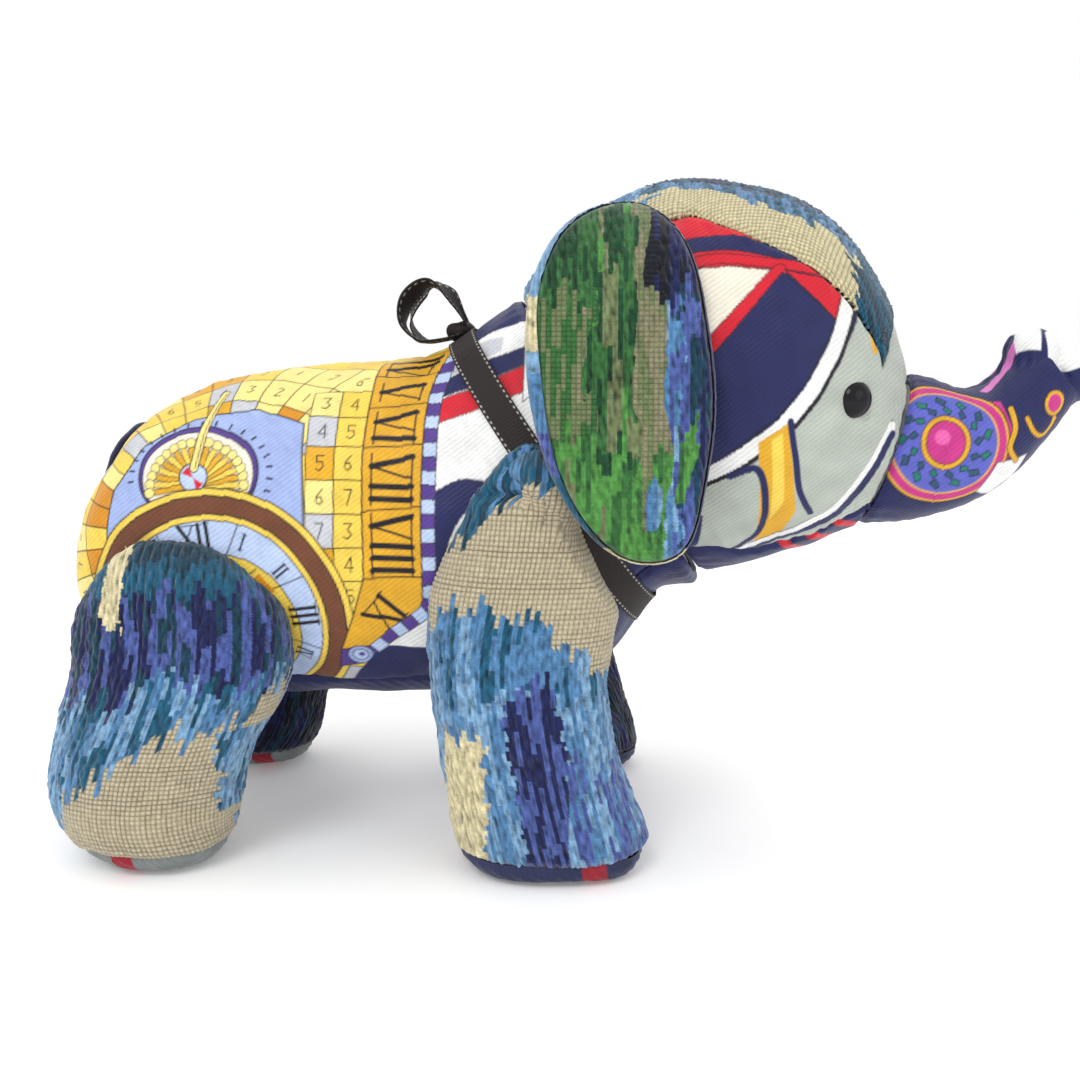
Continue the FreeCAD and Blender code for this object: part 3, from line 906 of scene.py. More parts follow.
# The right loop leaves the knot, goes up and back along its top, round its end and in again below.  Each point is
# x, y and z from the knot, the way the ribbon's width points there, and half that width.
BOW_LOOP = [
    ((4, 0, 0), (0.0, 1.0, 0.0), 2.6),
    ((1, -1, 7), (0.1, 1.0, 0.1), 3.8),
    ((-4, -4, 15.5), (0.35, 0.9, 0.1), 5.6),
    ((-13, -8, 19), (0.35, 0.9, -0.2), 6.35),
    ((-21, -10.5, 13), (0.3, 0.9, -0.3), 6.35),
    ((-23, -10.5, 3), (0.1, 1.0, -0.2), 6.35),
    ((-17, -8, -4), (0.0, 1.0, -0.1), 6.0),
    ((-7, -4, -3.5), (0.0, 1.0, 0.0), 4.2),
    ((1, -1, -1), (0.0, 1.0, 0.0), 2.6),
]


def closed_strip(outer, inner):
    """Rows round a flat strip: its outer side, then its inner side, closed into a loop across the strip."""
    return np.concatenate([outer, inner[::-1], outer[:1]], axis=0)


def ribbon_piece(name, outer, normal, thickness, cloth, node):
    """A ribbon from its outer side, closed into a thin band."""
    points = closed_strip(outer, outer - normal * thickness)
    cloth = closed_strip(cloth, cloth)
    piece = make_piece(name, points, paint_ribbon(cloth), RIBBON, "toy", [node], cloth, closed=True)


def build_ribbon():
    tilt = math.radians(BAND_TILT)
    axis = np.array([math.cos(tilt), 0, math.sin(tilt)])
    centre = np.array(BAND_CENTRE)
    half = RIBBON_WIDTH / 2
    spine = [tuple(centre + axis * d) + (BAND_TILT,) for d in (-BAND_SAMPLED, 0.0, BAND_SAMPLED)]
    tube = Tube(Shell("ribbon_band"), spine, far=TRUNK_REACH * 1.8, caps=(False, False))
    ring_fill(tube)
    step = 0.35
    rows = np.linspace(0, tube.last_ring, int(2 * half / step))[:, None]
    angles = np.linspace(0, 360, int(420 / step))[None, :]
    grid_rows, grid_angles = rows * np.ones(angles.shape), angles * np.ones(rows.shape)
    points = smooth_grid(tube.points, grid_rows, grid_angles)
    # the sampled rows stop short of the band's edges, so they are spread to its whole width
    across = np.linspace(-half, half, len(rows))[:, None]
    sampled = np.linspace(-BAND_SAMPLED, BAND_SAMPLED, len(rows))[:, None]
    points = points + axis * (across[:, :, None] - sampled[:, :, None])
    patch = Patch(points, np.ones(points.shape) * centre)
    length = patch.t[len(rows) // 2]
    cloth = np.stack([np.ones(rows.shape) * length[None, :], across * np.ones(angles.shape)], axis=2)
    patch.push(0.25 * waves(points, 30.0, 7, 81) + 0.1)
    ribbon_piece("ribbon_wrap", patch.points, patch.normals(), 0.8, cloth, "ribbon_band")


def loop_ribbon(side, path, directions, half_widths):
    """A bow loop: a line of points, swept sideways into a thin band."""
    step = 0.35
    rows = np.linspace(0, len(path) - 1, 400)
    line = smooth_rows(path, rows)
    walked = np.concatenate([[0], np.cumsum(np.linalg.norm(np.diff(line, axis=0), axis=1))])
    even = np.linspace(0, walked[-1], int(walked[-1] / step))
    at = np.interp(even, walked, rows)
    line = np.stack([np.interp(even, walked, line[:, k]) for k in range(3)], axis=1)
    tangent = unit(np.gradient(line, axis=0))
    sideways = smooth_rows(directions, at)
    sideways = unit(sideways - tangent * (sideways * tangent).sum(axis=1, keepdims=True))
    normal = np.cross(tangent, sideways)
    width = smooth_rows(half_widths, at)
    across = np.linspace(-1, 1, int(RIBBON_WIDTH / step))[:, None]
    camber = 0.5 * (1 - across**2) + 0.35
    outer = line[None] + across[:, :, None] * (sideways * width[:, None])[None]
    outer = outer + camber[:, :, None] * normal[None]
    cloth = np.stack([np.ones(across.shape) * even[None, :],
                      across * RIBBON_WIDTH / 2 * np.ones((1, len(even)))], axis=2)
    ribbon_piece(f"bow_loop_{side}", outer, normal[None], 0.7, cloth, f"ribbon_loop_{side}")


def unit(vectors):
    return vectors / np.linalg.norm(vectors, axis=1, keepdims=True)


def ball_patch(centre, radii, count, seed, lump):
    """A lumpy closed blob."""
    polar = np.linspace(0, math.pi, count)[:, None]
    turn = np.linspace(0, 2 * math.pi, 2 * count)[None, :]
    ball = np.stack([np.cos(polar) * np.ones_like(turn), np.sin(polar) * np.cos(turn),
                     np.sin(polar) * np.sin(turn)], axis=2)
    points = np.array(centre) + ball * np.array(radii)
    height = lump * waves(points, 9.0, 7, seed)
    points = points + ball * height[..., None]
    points[:, -1] = points[:, 0]
    patch = Patch(points, np.ones(points.shape) * np.array(centre))
    every = np.ones((len(polar), turn.size))
    patch.cloth = np.stack([polar * radii[0] * every, turn * radii[1] * every], axis=2)
    return patch


def centre_of(node):
    low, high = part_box(node)
    return np.array((low + high) / 2) / MM


def half_size(node):
    low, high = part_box(node)
    return (np.array(high) - np.array(low)) / MM / 2


def build_bow():
    knot = centre_of("ribbon_knot")
    places, directions, half_widths = (np.array(values, float) for values in zip(*BOW_LOOP))
    for side, sign in SIDES.items():
        outwards = np.array([1, sign, 1])
        base = knot + np.array([0.0, -2.0 * sign, 1.0])
        loop_ribbon(side, base + places * outwards, directions * outwards, half_widths)
    patch = ball_patch(knot + [0, 0, 0.8], half_size("ribbon_knot") * [0.95, 0.95, 1.0], 40, 91, 0.5)
    padded_piece("bow_knot", patch, paint_knot(patch), RIBBON, "ribbon_knot", 0.0)


# ---- tail ------------------------------------------------------------------------------
TAIL_ROUTE = [(-184.6, 1, 173.2), (-190, 1, 171.3), (-196, 2, 167.3), (-203.5, 5, 158.5), (-209, 9, 147),
              (-212.8, 12, 134.5)]
TAIL_HALF_WIDTH = 6.3
TAIL_HALF_THICKNESS = 2.6
TAIL_KNOB_RADII = (4.0, 7.6, 9.0)


def build_tail():
    line = smooth_rows(TAIL_ROUTE, np.linspace(0, len(TAIL_ROUTE) - 1, 60))
    tangent = unit(np.gradient(line, axis=0))
    side = unit(np.array([0, 1.0, 0]) - tangent * tangent[:, 1:2])
    out = np.cross(side, tangent)
    out *= np.sign(-out[:, 0:1])
    turn = np.linspace(0, 2 * math.pi, 48)
    # the strip is pressed flatter where it is sewn to the rump
    swell = np.minimum(0.55 + 0.45 * np.arange(len(line)) / 6, 1.0)
    thick = np.cos(turn)[None, :, None] * TAIL_HALF_THICKNESS * swell[:, None, None]
    wide = np.sin(turn)[None, :, None] * TAIL_HALF_WIDTH
    points = line[:, None] + out[:, None] * thick + side[:, None] * wide
    patch = Patch(points, np.repeat(line[:, None, :], len(turn), axis=1))
    patch.push(0.35 * waves(points, 12.0, 7, 95) - 0.5 * np.exp(-((np.sin(turn)[None, :] / 0.2) ** 2)))
    patch.cloth = np.stack([patch.s, patch.t], axis=2)
    padded_piece("tail_silk", patch, paint_tail(patch), SILK, "tail_strip", 1.5, "tail")
    knob = ball_patch(centre_of("tail_knot"), TAIL_KNOB_RADII, 48, 97, 0.45)
    swirl = np.sin(knob.cloth[..., 1] / 3.0 + knob.cloth[..., 0] / 2.0)
    knob.push(-0.6 * np.exp(-((swirl / 0.3) ** 2)))
    padded_piece("tail_knob", knob, paint_tail(knob), SILK, "tail_knot", 0.0, "tail")


# ---- fillings --------------------------------------------------------------------------
def build_filling(name, node, tube, seed, inset=5.0):
    """The stuffing: the tube drawn in and made lumpy."""
    count = len(tube.rows) - 1
    patch = tube_patch(tube, 0, count, np.zeros(count + 1), np.full(count + 1, 360.0), 3.0)
    patch.push(-inset + 0.8 * waves(patch.points, 22.0, 9, seed))
    patch.cloth = np.stack([patch.s, patch.t], axis=2)
    close_ring(patch, None)
    close_ends(padded_piece(name, patch, np.ones(patch.points.shape), FILLING, node, 0.0))


def close_ends(piece):
    """Fills the open ends of a tube."""
    mesh = bmesh.new()
    mesh.from_mesh(piece.data)
    bmesh.ops.remove_doubles(mesh, verts=mesh.verts, dist=0.00005)
    bmesh.ops.holes_fill(mesh, edges=[e for e in mesh.edges if e.is_boundary], sides=0)
    mesh.to_mesh(piece.data)
    mesh.free()


# ---- painting --------------------------------------------------------------------------
NAVY, RED, WHITE, CREAM = (30, 35, 84), (206, 24, 44), (236, 236, 234), (236, 229, 212)
GOLD, YELLOW, PALE_YELLOW, ORANGE = (221, 166, 38), (240, 206, 84), (245, 226, 138), (214, 142, 30)
PLATE_BLUE, PALE_BLUE, PURPLE, BROWN = (158, 176, 224), (186, 204, 238), (84, 58, 140), (112, 66, 44)
INK, GREY, SAGE_SILK, MAGENTA = (22, 20, 30), (196, 198, 204), (176, 183, 173), (196, 52, 132)
VIOLET, LEAF_TEAL, LEAF_BLUE = (92, 98, 190), (28, 120, 104), (42, 84, 110)
PINK, LILAC = (224, 96, 168), (214, 120, 190)
RIBBON_BLACK, RIBBON_STITCH = (38, 31, 30), (222, 218, 208)
SOLE_GREY, SOLE_NAVY, SOLE_RED, TAIL_NAVY = (128, 134, 134), (40, 46, 80), (150, 30, 46), (26, 30, 66)
INK_WIDTH = 0.45


class Canvas:
    """Paints flat shapes, in cloth millimetres, on to the points of a patch."""

    def __init__(self, cloth, ground):
        self.u, self.v = cloth[..., 0], cloth[..., 1]
        self.rgb = np.ones(cloth.shape[:2] + (3,)) * linear(ground)
        self.soft = SILK_STEP * 0.9

    def lay(self, distance, colour, where=slice(None)):
        """Colours where distance is below zero, with an edge one mesh step wide."""
        cover = np.clip(0.5 - distance / self.soft, 0, 1)[..., None]
        self.rgb[where] = self.rgb[where] * (1 - cover) + linear(colour) * cover

    def near(self, points, margin):
        low, high = np.min(points, axis=0) - margin, np.max(points, axis=0) + margin
        return (self.u > low[0]) & (self.u < high[0]) & (self.v > low[1]) & (self.v < high[1])

    def polygon(self, points, colour, outline=0.0):
        points = np.array(points, float)
        where = self.near(points, 2.0)
        u, v = self.u[where], self.v[where]
        inside = np.zeros(u.shape, bool)
        distance = np.full(u.shape, 1e9)
        for (au, av), (bu, bv) in zip(points, np.roll(points, -1, axis=0)):
            distance = np.minimum(distance, to_segment(u, v, (au, av), (bu, bv)))
            crossing = (av > v) != (bv > v)
            inside ^= crossing & (u < (bu - au) * (v - av) / (bv - av + 1e-12) + au)
        self.lay(np.where(inside, -distance, distance), colour, where)
        if outline:
            self.lay(distance - outline / 2, INK, where)

    def stroke(self, points, width, colour, edge=0.0):
        points = np.array(points, float)
        where = self.near(points, width + 2.0)
        u, v = self.u[where], self.v[where]
        distance = np.full(u.shape, 1e9)
        for a, b in zip(points[:-1], points[1:]):
            distance = np.minimum(distance, to_segment(u, v, a, b))
        if edge:
            self.lay(distance - width / 2 - edge, INK, where)
        self.lay(distance - width / 2, colour, where)

    def oval(self, centre, radii, colour, tilt=0.0, edge=0.0):
        turn = math.radians(tilt)
        du, dv = self.u - centre[0], self.v - centre[1]
        a = (du * math.cos(turn) + dv * math.sin(turn)) / radii[0]
        b = (dv * math.cos(turn) - du * math.sin(turn)) / radii[1]
        distance = (np.sqrt(a * a + b * b) - 1) * min(radii)
        if edge:
            self.lay(distance - edge, INK)
        self.lay(distance, colour)

    def shade(self, size, amount, seed):
        """Uneven dye."""
        flat = np.stack([self.u, self.v, 0 * self.u], axis=-1)
        self.rgb *= (1 + amount * waves(flat, size, 9, seed))[..., None]


def to_segment(u, v, a, b):
    du, dv = b[0] - a[0], b[1] - a[1]
    share = np.clip(((u - a[0]) * du + (v - a[1]) * dv) / (du * du + dv * dv + 1e-9), 0, 1)
    return np.hypot(u - a[0] - share * du, v - a[1] - share * dv)


def curve(points, count=24):
    """A smooth line through a few points."""
    return smooth_rows(np.array(points, float), np.linspace(0, len(points) - 1, count))


ROMAN = {"I": [[(0, -1), (0, 1)]], "V": [[(-0.55, 1), (0, -1)], [(0, -1), (0.55, 1)]],
         "X": [[(-0.55, 1), (0.55, -1)], [(-0.55, -1), (0.55, 1)]]}
ROMAN_WIDTH = {"I": 0.62, "V": 1.3, "X": 1.3}
DIGITS = {"1": [(0, 1), (0, -1)], "2": [(-0.5, 0.7), (0, 1), (0.5, 0.6), (-0.5, -1), (0.5, -1)],
          "3": [(-0.5, 1), (0.5, 1), (0, 0.2), (0.5, -0.4), (0, -1), (-0.5, -0.8)],
          "4": [(0.3, -1), (0.3, 1), (-0.5, -0.4), (0.6, -0.4)],
          "5": [(0.5, 1), (-0.4, 1), (-0.4, 0.1), (0.3, 0.2), (0.5, -0.4), (0, -1), (-0.5, -0.8)],
          "6": [(0.4, 1), (-0.4, 0), (-0.4, -0.7), (0, -1), (0.45, -0.6), (0.2, 0), (-0.4, -0.1)],
          "7": [(-0.5, 1), (0.5, 1), (-0.1, -1)]}


def turned(points, centre, size, turn):
    """Points of a letter, turned by degrees and put at its centre."""
    c, s = math.cos(math.radians(turn)), math.sin(math.radians(turn))
    return [(centre[0] + size * (x * c - y * s), centre[1] + size * (x * s + y * c)) for x, y in points]


def numeral(canvas, text, centre, size, turn):
    """A Roman numeral in thick and thin strokes, with serif bars top and bottom."""
    total = sum(ROMAN_WIDTH[letter] for letter in text)
    cursor = -total / 2
    for letter in text:
        middle = cursor + ROMAN_WIDTH[letter] / 2
        for number, line in enumerate(ROMAN[letter]):
            width = size * (0.30 if number == 0 else 0.12)
            canvas.stroke(turned([(middle + x, y) for x, y in line], centre, size, turn), width, INK)
        cursor += ROMAN_WIDTH[letter]
    for level in (-1, 1):
        canvas.stroke(turned([(-total / 2, level), (total / 2, level)], centre, size, turn), size * 0.09, INK)


def digit(canvas, text, centre, size, turn=0.0):
    canvas.stroke(turned(DIGITS[text], centre, size, turn), 0.55, INK)


def around(centre, radii, angle):
    """The point of an oval at an angle in degrees."""
    turn = math.radians(angle)
    return centre[0] + radii[0] * math.cos(turn), centre[1] + radii[1] * math.sin(turn)


def circle_point(centre, radius, angle):
    return around(centre, (radius, radius), angle)


def paint_cells(art):
    """Rings of numbered cells round the plate, and two columns of them beside it."""
    chance = np.random.default_rng(7)
    tones = (YELLOW, PALE_YELLOW, GOLD, YELLOW, GREY, ORANGE, PALE_YELLOW, YELLOW)
    for ring, (inner, outer) in enumerate(((74, 92), (58, 74), (44, 58))):
        for k in range(36):
            turn = 10 * k
            corners = [around((-138, 134), (1.1 * radius, radius), angle) for radius, angle in
                       ((inner, turn), (outer, turn), (outer, turn + 10), (inner, turn + 10))]
            art.polygon(corners, tones[int(chance.integers(len(tones)))], INK_WIDTH)
            if ring < 2 and k < 30:
                digit(art, str(1 + (k + ring) % 7), np.mean(corners, axis=0), 2.6, turn - 85)
    tones = (PALE_YELLOW, YELLOW, GREY, YELLOW, GOLD, YELLOW)
    height = 13.5
    for column, (left, right) in enumerate(((-104, -92.5), (-92.5, -81))):
        for k in range(9):
            top = 196 - height * k
            corners = [(left, top), (right, top), (right, top - height), (left, top - height)]
            art.polygon(corners, tones[(k * 2 + column) % 6], INK_WIDTH)
            digit(art, str(3 + (k + column) % 5), ((left + right) / 2, top - 6.7), 3.0)


def paint_plate(art):
    """A pale plate with a fan of rays in an oval, and a pointer."""
    art.polygon([(-188, 128), (-185, 150), (-174, 170), (-153, 183), (-126, 187), (-106, 179), (-104.7, 144),
                 (-104, 118), (-120, 100), (-170, 100)], PLATE_BLUE, 0.7)
    for angle in range(-40, 200, 12):
        art.stroke([around((-148, 157), (29, 22), angle), around((-148, 157), (31, 24), angle)], 0.9, INK)
    art.oval((-148.5, 158), (26, 20.5), INK)
    art.oval((-148.5, 158), (25.2, 19.7), PURPLE)
    art.oval((-148.5, 157), (23.5, 18.2), CREAM, edge=0.4)
    for k in range(19):
        tip = around((-148.5, 152), (20, 19), -8 + k * 196 / 18)
        art.stroke([(-148.5, 153), tip], 2.1, YELLOW if k % 2 else GOLD, edge=0.35)
        art.oval(tip, (1.9, 1.9), PALE_YELLOW, edge=0.35)
    art.oval((-150, 156), (5.6, 5.6), PALE_BLUE, edge=0.6)
    art.polygon([(-150, 156), (-155, 157.5), (-152.5, 160.6)], RED)
    art.polygon([(-150, 156), (-145.4, 153.5), (-148.5, 151)], RED)
    art.stroke(curve([(-150, 160), (-147, 178), (-143, 199)]), 3.0, PALE_YELLOW, edge=0.5)
    art.stroke(curve([(-149.5, 160), (-146.5, 178), (-142.5, 199)]), 0.5, BROWN)


def paint_dial(art):
    """A dial of hours in a brown ring, with curved spokes."""
    dial = (-142.6, 95.0)
    for radius, colour in ((57.0, INK), (56.4, YELLOW), (54.0, INK), (53.4, BROWN), (46.6, INK),
                           (46.0, YELLOW), (44.0, INK), (43.5, PALE_BLUE)):
        art.oval(dial, (radius, radius), colour)
    art.oval((-139.5, 93), (31.5, 31.5), YELLOW, edge=0.5)
    slant = math.degrees(0.12)
    width = math.degrees(0.34)
    for k in range(16):
        angle = 22.5 * k + 8
        spoke = ((8, angle + 16), (20, angle + slant), (43.5 if k % 2 else 30.5, angle))
        art.stroke(curve([circle_point(dial, radius, turn) for radius, turn in spoke], 12), 0.5, INK)
        if k % 4 == 1:
            block = ((16, angle), (30, angle), (30, angle + width), (16, angle + width))
            art.polygon([circle_point(dial, radius, turn) for radius, turn in block], ORANGE)
    hours = {"XII": 100, "III": 8, "II": 40, "I": 70, "XI": 130, "X": 160, "IV": -22}
    for text, angle in hours.items():
        size = 5.2 if text in ("XII", "III") else 3.2
        numeral(art, text, circle_point(dial, 37.2, angle), size, angle - 90)


def paint_hours(art):
    """The column of hours and the scroll under it."""
    hours = (("IV", 222, 205), ("V", 205, 187), ("VI", 187, 168), ("VII", 168, 143), ("VIII", 143, 116))
    for text, top, low in hours:
        art.polygon([(-81, top), (-57.5, top + 2), (-57.5, low + 1), (-81, low - 1)], GOLD, 0.6)
        numeral(art, text, (-69.2, (top + low) / 2), 8.0, -90)
    art.polygon([(-81, 116), (-57.5, 117), (-57.5, 104), (-76, 86), (-92, 84), (-86, 100)], GOLD, 0.6)
    numeral(art, "IX", (-73, 101), 6.8, -130)
    art.polygon([(-92, 84), (-76, 86), (-78, 78), (-94, 74)], PURPLE, 0.5)
    art.oval((-84.5, 81), (5.0, 4.4), PLATE_BLUE, edge=0.5)
    art.oval((-84.5, 81), (3.0, 2.5), PALE_BLUE, edge=0.4)
    art.oval((-84.0, 81), (1.3, 1.1), PURPLE)


def paint_bands(art):
    """Navy, red and white bands in front of the hours."""
    art.polygon([(-52, 60), (80, 60), (80, 260), (-52, 260)], WHITE)
    art.polygon([(-52, 215), (0, 228), (0, 260), (-52, 260)], NAVY)
    art.polygon([(-52, 203), (-30, 209), (-30, 216), (-52, 214)], GREY)
    art.polygon([(-52, 191), (-10, 205), (-10, 212), (-52, 202)], NAVY, 0.4)
    art.polygon([(-52, 179), (-10, 193), (-10, 205), (-52, 190)], RED, 0.4)
    art.polygon([(-6, 165), (-14, 186), (-10, 240), (60, 240), (60, 60), (-30, 60)], NAVY)
    art.polygon([(-18, 186), (-20, 224), (2, 236), (4, 206)], WHITE, 0.4)
    upper, lower = curve([(-52, 151), (-42, 156), (-32, 155)]), curve([(-38, 146), (-46, 133), (-50, 112)])
    art.polygon(np.vstack([upper, lower, [(-52, 102)]]), NAVY, 0.4)
    art.polygon([(-36, 60), (-36, 140), (0, 150), (60, 60)], NAVY)
    art.polygon([(-58, 60), (-58, 86), (-72, 84.5), (-84, 72), (-90, 60)], NAVY)
    art.polygon([(-52, 104), (-44, 92), (-44, 84), (-74, 84.8)], WHITE, 0.4)
    art.polygon([(-76, 84.6), (-30, 86), (-30, 40), (-100, 40), (-86, 72)], NAVY)


def paint_border(art):
    """A checked border between the hours and the bands."""
    path = np.array([(-54.7, 240.0), (-54.7, 104.0), (-78.5, 84.0)])
    reach = np.concatenate([[0], np.cumsum(np.linalg.norm(np.diff(path, axis=0), axis=1))])
    count = int(reach[-1] / 5.6)
    places = np.linspace(0, reach[-1], count + 1)
    line = np.stack([np.interp(places, reach, path[:, axis]) for axis in (0, 1)], axis=1)
    for k, (start, end) in enumerate(zip(line[:-1], line[1:])):
        along = end - start
        across = np.array([-along[1], along[0]]) / np.linalg.norm(along) * 2.7
        corners = [start + across, end + across, end - across, start - across]
        art.polygon(corners, PURPLE if k % 2 else PALE_BLUE, 0.4)


def paint_body(cloth):
    """A made-up sundial print: cells, a plate with a fan of rays, a dial, a column of hours, and bands."""
    art = Canvas(cloth, YELLOW)
    for paint in (paint_cells, paint_plate, paint_dial, paint_hours, paint_bands, paint_border):
        paint(art)
    art.shade(14, 0.05, 9)
    art.shade(5, 0.035, 10)
    return art.rgb


def paint_navy(cloth):
    art = Canvas(cloth, NAVY)
    art.shade(12, 0.12, 12)
    return art.rgb


def paint_chin(cloth):
    art = Canvas(cloth, NAVY)
    middle = float(art.u.max()) / 2
    for k in range(3):
        art.polygon([(middle - 4 + 14 * k, -5), (middle + 1 + 14 * k, -5), (middle + 12 + 14 * k, 120),
                     (middle + 7 + 14 * k, 120)], RED)
    art.shade(12, 0.1, 13)
    return art.rgb


def paint_head(cloth):
    """Made-up bands and blocks of navy, red, white and grey, with one gold bar."""
    art = Canvas(cloth, SAGE_SILK)
    art.polygon([(-90, 60), (-90, 340), (90, 340), (118, 232), (104, 200), (86, 178), (60, 160), (30, 140)],
                NAVY)
    art.polygon([(20, 340), (30, 230), (46, 232), (80, 238), (108, 232), (118, 236), (100, 340)], RED)
    art.stroke(curve([(30, 240), (44, 246), (64, 248), (86, 243), (101, 236)]), 6.4, NAVY, edge=0.4)
    art.polygon([(32, 205), (32, 232), (46, 236.5), (60, 238), (78, 236.7), (53, 209)], CREAM, 0.5)
    art.stroke(curve([(36, 230), (52, 240.5), (78, 239.5), (98, 236.5), (110, 229)]), 3.8, RED, edge=0.4)
    art.stroke([(80, 236.5), (53.5, 207)], 5.2, RED, edge=0.4)
    art.polygon([(81, 236), (104, 215.5), (94, 193), (60, 164), (40, 150), (40, 190), (54, 203)], NAVY, 0.4)
    art.polygon([(82, 237), (109, 231.5), (104, 215.5)], RED, 0.4)
    band = curve([(111, 236), (107, 222), (101, 205), (90, 187), (77, 173), (58, 160), (40, 152)])
    art.stroke(band + [1.2, -1.2], 6.4, INK)
    art.stroke(band, 6.0, WHITE)
    art.stroke(band + [-3.1, 2.4], 0.6, INK)
    art.polygon([(73, 171), (84, 178.5), (90.5, 140), (87, 127), (78, 121)], GOLD)
    art.polygon([(78, 172), (82, 175), (85, 146), (81, 136)], YELLOW)
    art.stroke(curve([(63, 157.5), (73, 160.5), (77.5, 148), (78, 130), (70, 121)]), 2.8, NAVY)
    art.stroke(curve([(85, 179), (87.5, 166), (91, 150), (97, 138)]), 2.6, NAVY)
    rim = curve([(48, 116), (72, 119), (96, 130.5), (110, 143), (120, 158), (128, 176)])
    art.stroke(rim + [0, 2.3], 0.6, INK)
    art.stroke(rim, 3.6, WHITE)
    art.stroke(rim + [0.5, -3.2], 3.0, NAVY)
    art.polygon([(117, 214), (120, 214), (122, 206), (119, 204)], GOLD)
    art.polygon([(-30, 100), (-30, 150), (40, 150), (54, 140), (54, 126), (40, 110)], NAVY)
    art.shade(13, 0.045, 19)
    return art.rgb


def paint_trunk(cloth):
    """Navy with one oval medallion of leaves, a white patch with a gold scroll, and pale tips."""
    art = Canvas(cloth, NAVY)
    art.polygon([(160, 190), (176, 186), (182, 170), (178, 156), (160, 144)], MAGENTA)
    middle = (152.5, 168.5)
    for radii, colour in (((27.5, 27.0), INK), ((27.0, 26.5), GOLD), ((25.9, 25.4), MAGENTA),
                          ((22.6, 22.2), GOLD), ((21.7, 21.3), VIOLET)):
        art.oval(middle, radii, colour, -35)
    for k in range(26):
        angle = k * 360 / 13 + (8 if k > 12 else 0)
        near, far = (11.5, 15.5) if k < 13 else (15.5, 20.0)
        half = (near + far) / 2
        leaf = ((near, 0.0), (half, 9.2), (far, 5.7), (half, -5.7))
        points = [circle_point(middle, radius, angle + turn) for radius, turn in leaf]
        art.polygon(points, LEAF_TEAL if k % 2 else LEAF_BLUE, 0.4)
    for radii, colour in (((10.4, 11.2), INK), ((10.0, 10.8), GOLD), ((8.2, 9.0), INK),
                          ((7.8, 8.6), MAGENTA)):
        art.oval(middle, radii, colour)
    art.oval((middle[0] - 1.5, middle[1] + 2), (3.2, 3.0), PINK)
    art.polygon([(175, 160), (190, 162), (186, 150), (176, 140), (168, 146)], WHITE, 0.4)
    art.stroke(curve([(180, 182), (182, 174), (180, 166), (184, 160)], 16), 2.2, GOLD, edge=0.4)
    art.stroke(curve([(187, 178), (191, 172), (196, 170), (200, 176), (199, 182)], 16), 1.8, GOLD, edge=0.4)
    art.oval((199, 184), (4.6, 5.2), GOLD, edge=0.4)
    art.oval((199, 184), (3.2, 3.8), MAGENTA)
    art.stroke(curve([(172, 196), (178, 204), (184, 213)], 12), 4.2, LILAC)
    art.polygon([(183, 207), (193, 206), (196, 230), (180, 230)], WHITE)
    art.polygon([(196, 203), (206, 198), (226, 205), (210, 228), (196, 214)], WHITE)
    art.shade(10, 0.05, 23)
    return art.rgb


def paint_sole(patch, which):
    art = Canvas(patch.cloth, SOLE_GREY if which == "rear" else SOLE_NAVY)
    for k in range(8):
        art.stroke([(-238 + 62 * k, -100), (-205 + 62 * k, 100)], 9.0, SOLE_RED)
    art.shade(12, 0.08, 27)
    return art.rgb


def paint_tail(patch):
    art = Canvas(patch.cloth, TAIL_NAVY)
    art.stroke([(34, 4), (37, 14)], 3.0, WHITE)
    art.shade(8, 0.15, 29)
    return art.rgb


def paint_knot(patch):
    return np.ones(patch.points.shape) * linear(RIBBON_BLACK)


def paint_ribbon(cloth):
    """Near-black ribbon with a row of pale stitches near each edge."""
    along, across = cloth[..., 0], np.abs(cloth[..., 1])
    row = np.clip(1.2 - np.abs(across - 5.1) / 0.3, 0, 1)
    dash = (row * np.clip(1.4 - np.abs(np.mod(along, 2.7) - 0.95) / 0.6, 0, 1))[..., None]
    return linear(RIBBON_BLACK) * (1 - dash) + linear(RIBBON_STITCH) * dash


# ---- weave -----------------------------------------------------------------------------
# the second beige is the same beige darkened: painted shade for the front edge of the front leg
BEIGE, PAINTED_SHADE_BEIGE, WOOL_CREAM = (203, 190, 160), (178, 166, 138), (226, 214, 170)
TEAL, DEEP_TEAL, STEEL, SKY = (26, 92, 122), (18, 62, 84), (84, 134, 180), (128, 170, 206)
WOOL_NAVY, PERIWINKLE, BLACK_BLUE = (26, 34, 84), (78, 96, 164), (14, 18, 34)
TABLE = 997
DARK_GREEN, GREEN, LEAF = (22, 74, 42), (56, 112, 58), (84, 150, 70)
SAGE, TAUPE = (116, 130, 88), (142, 140, 108)


def chances(seed, number):
    """A random value of -1 to 1 for each whole number, from a table that repeats."""
    return np.random.default_rng(seed).uniform(-1, 1, TABLE)[number % TABLE]


def jag(place, amount, seed, pitch=STITCH):
    """A ragged edge: a random step for each column of stitches, with a few neighbours moving together."""
    column = np.floor(place / pitch).astype(int)
    wide = np.floor(place / (pitch * 3)).astype(int)
    return amount * (0.55 * chances(seed, column) + 0.6 * chances(seed + 1, wide))


def mix(colour, other, where):
    colour[where] = linear(other)


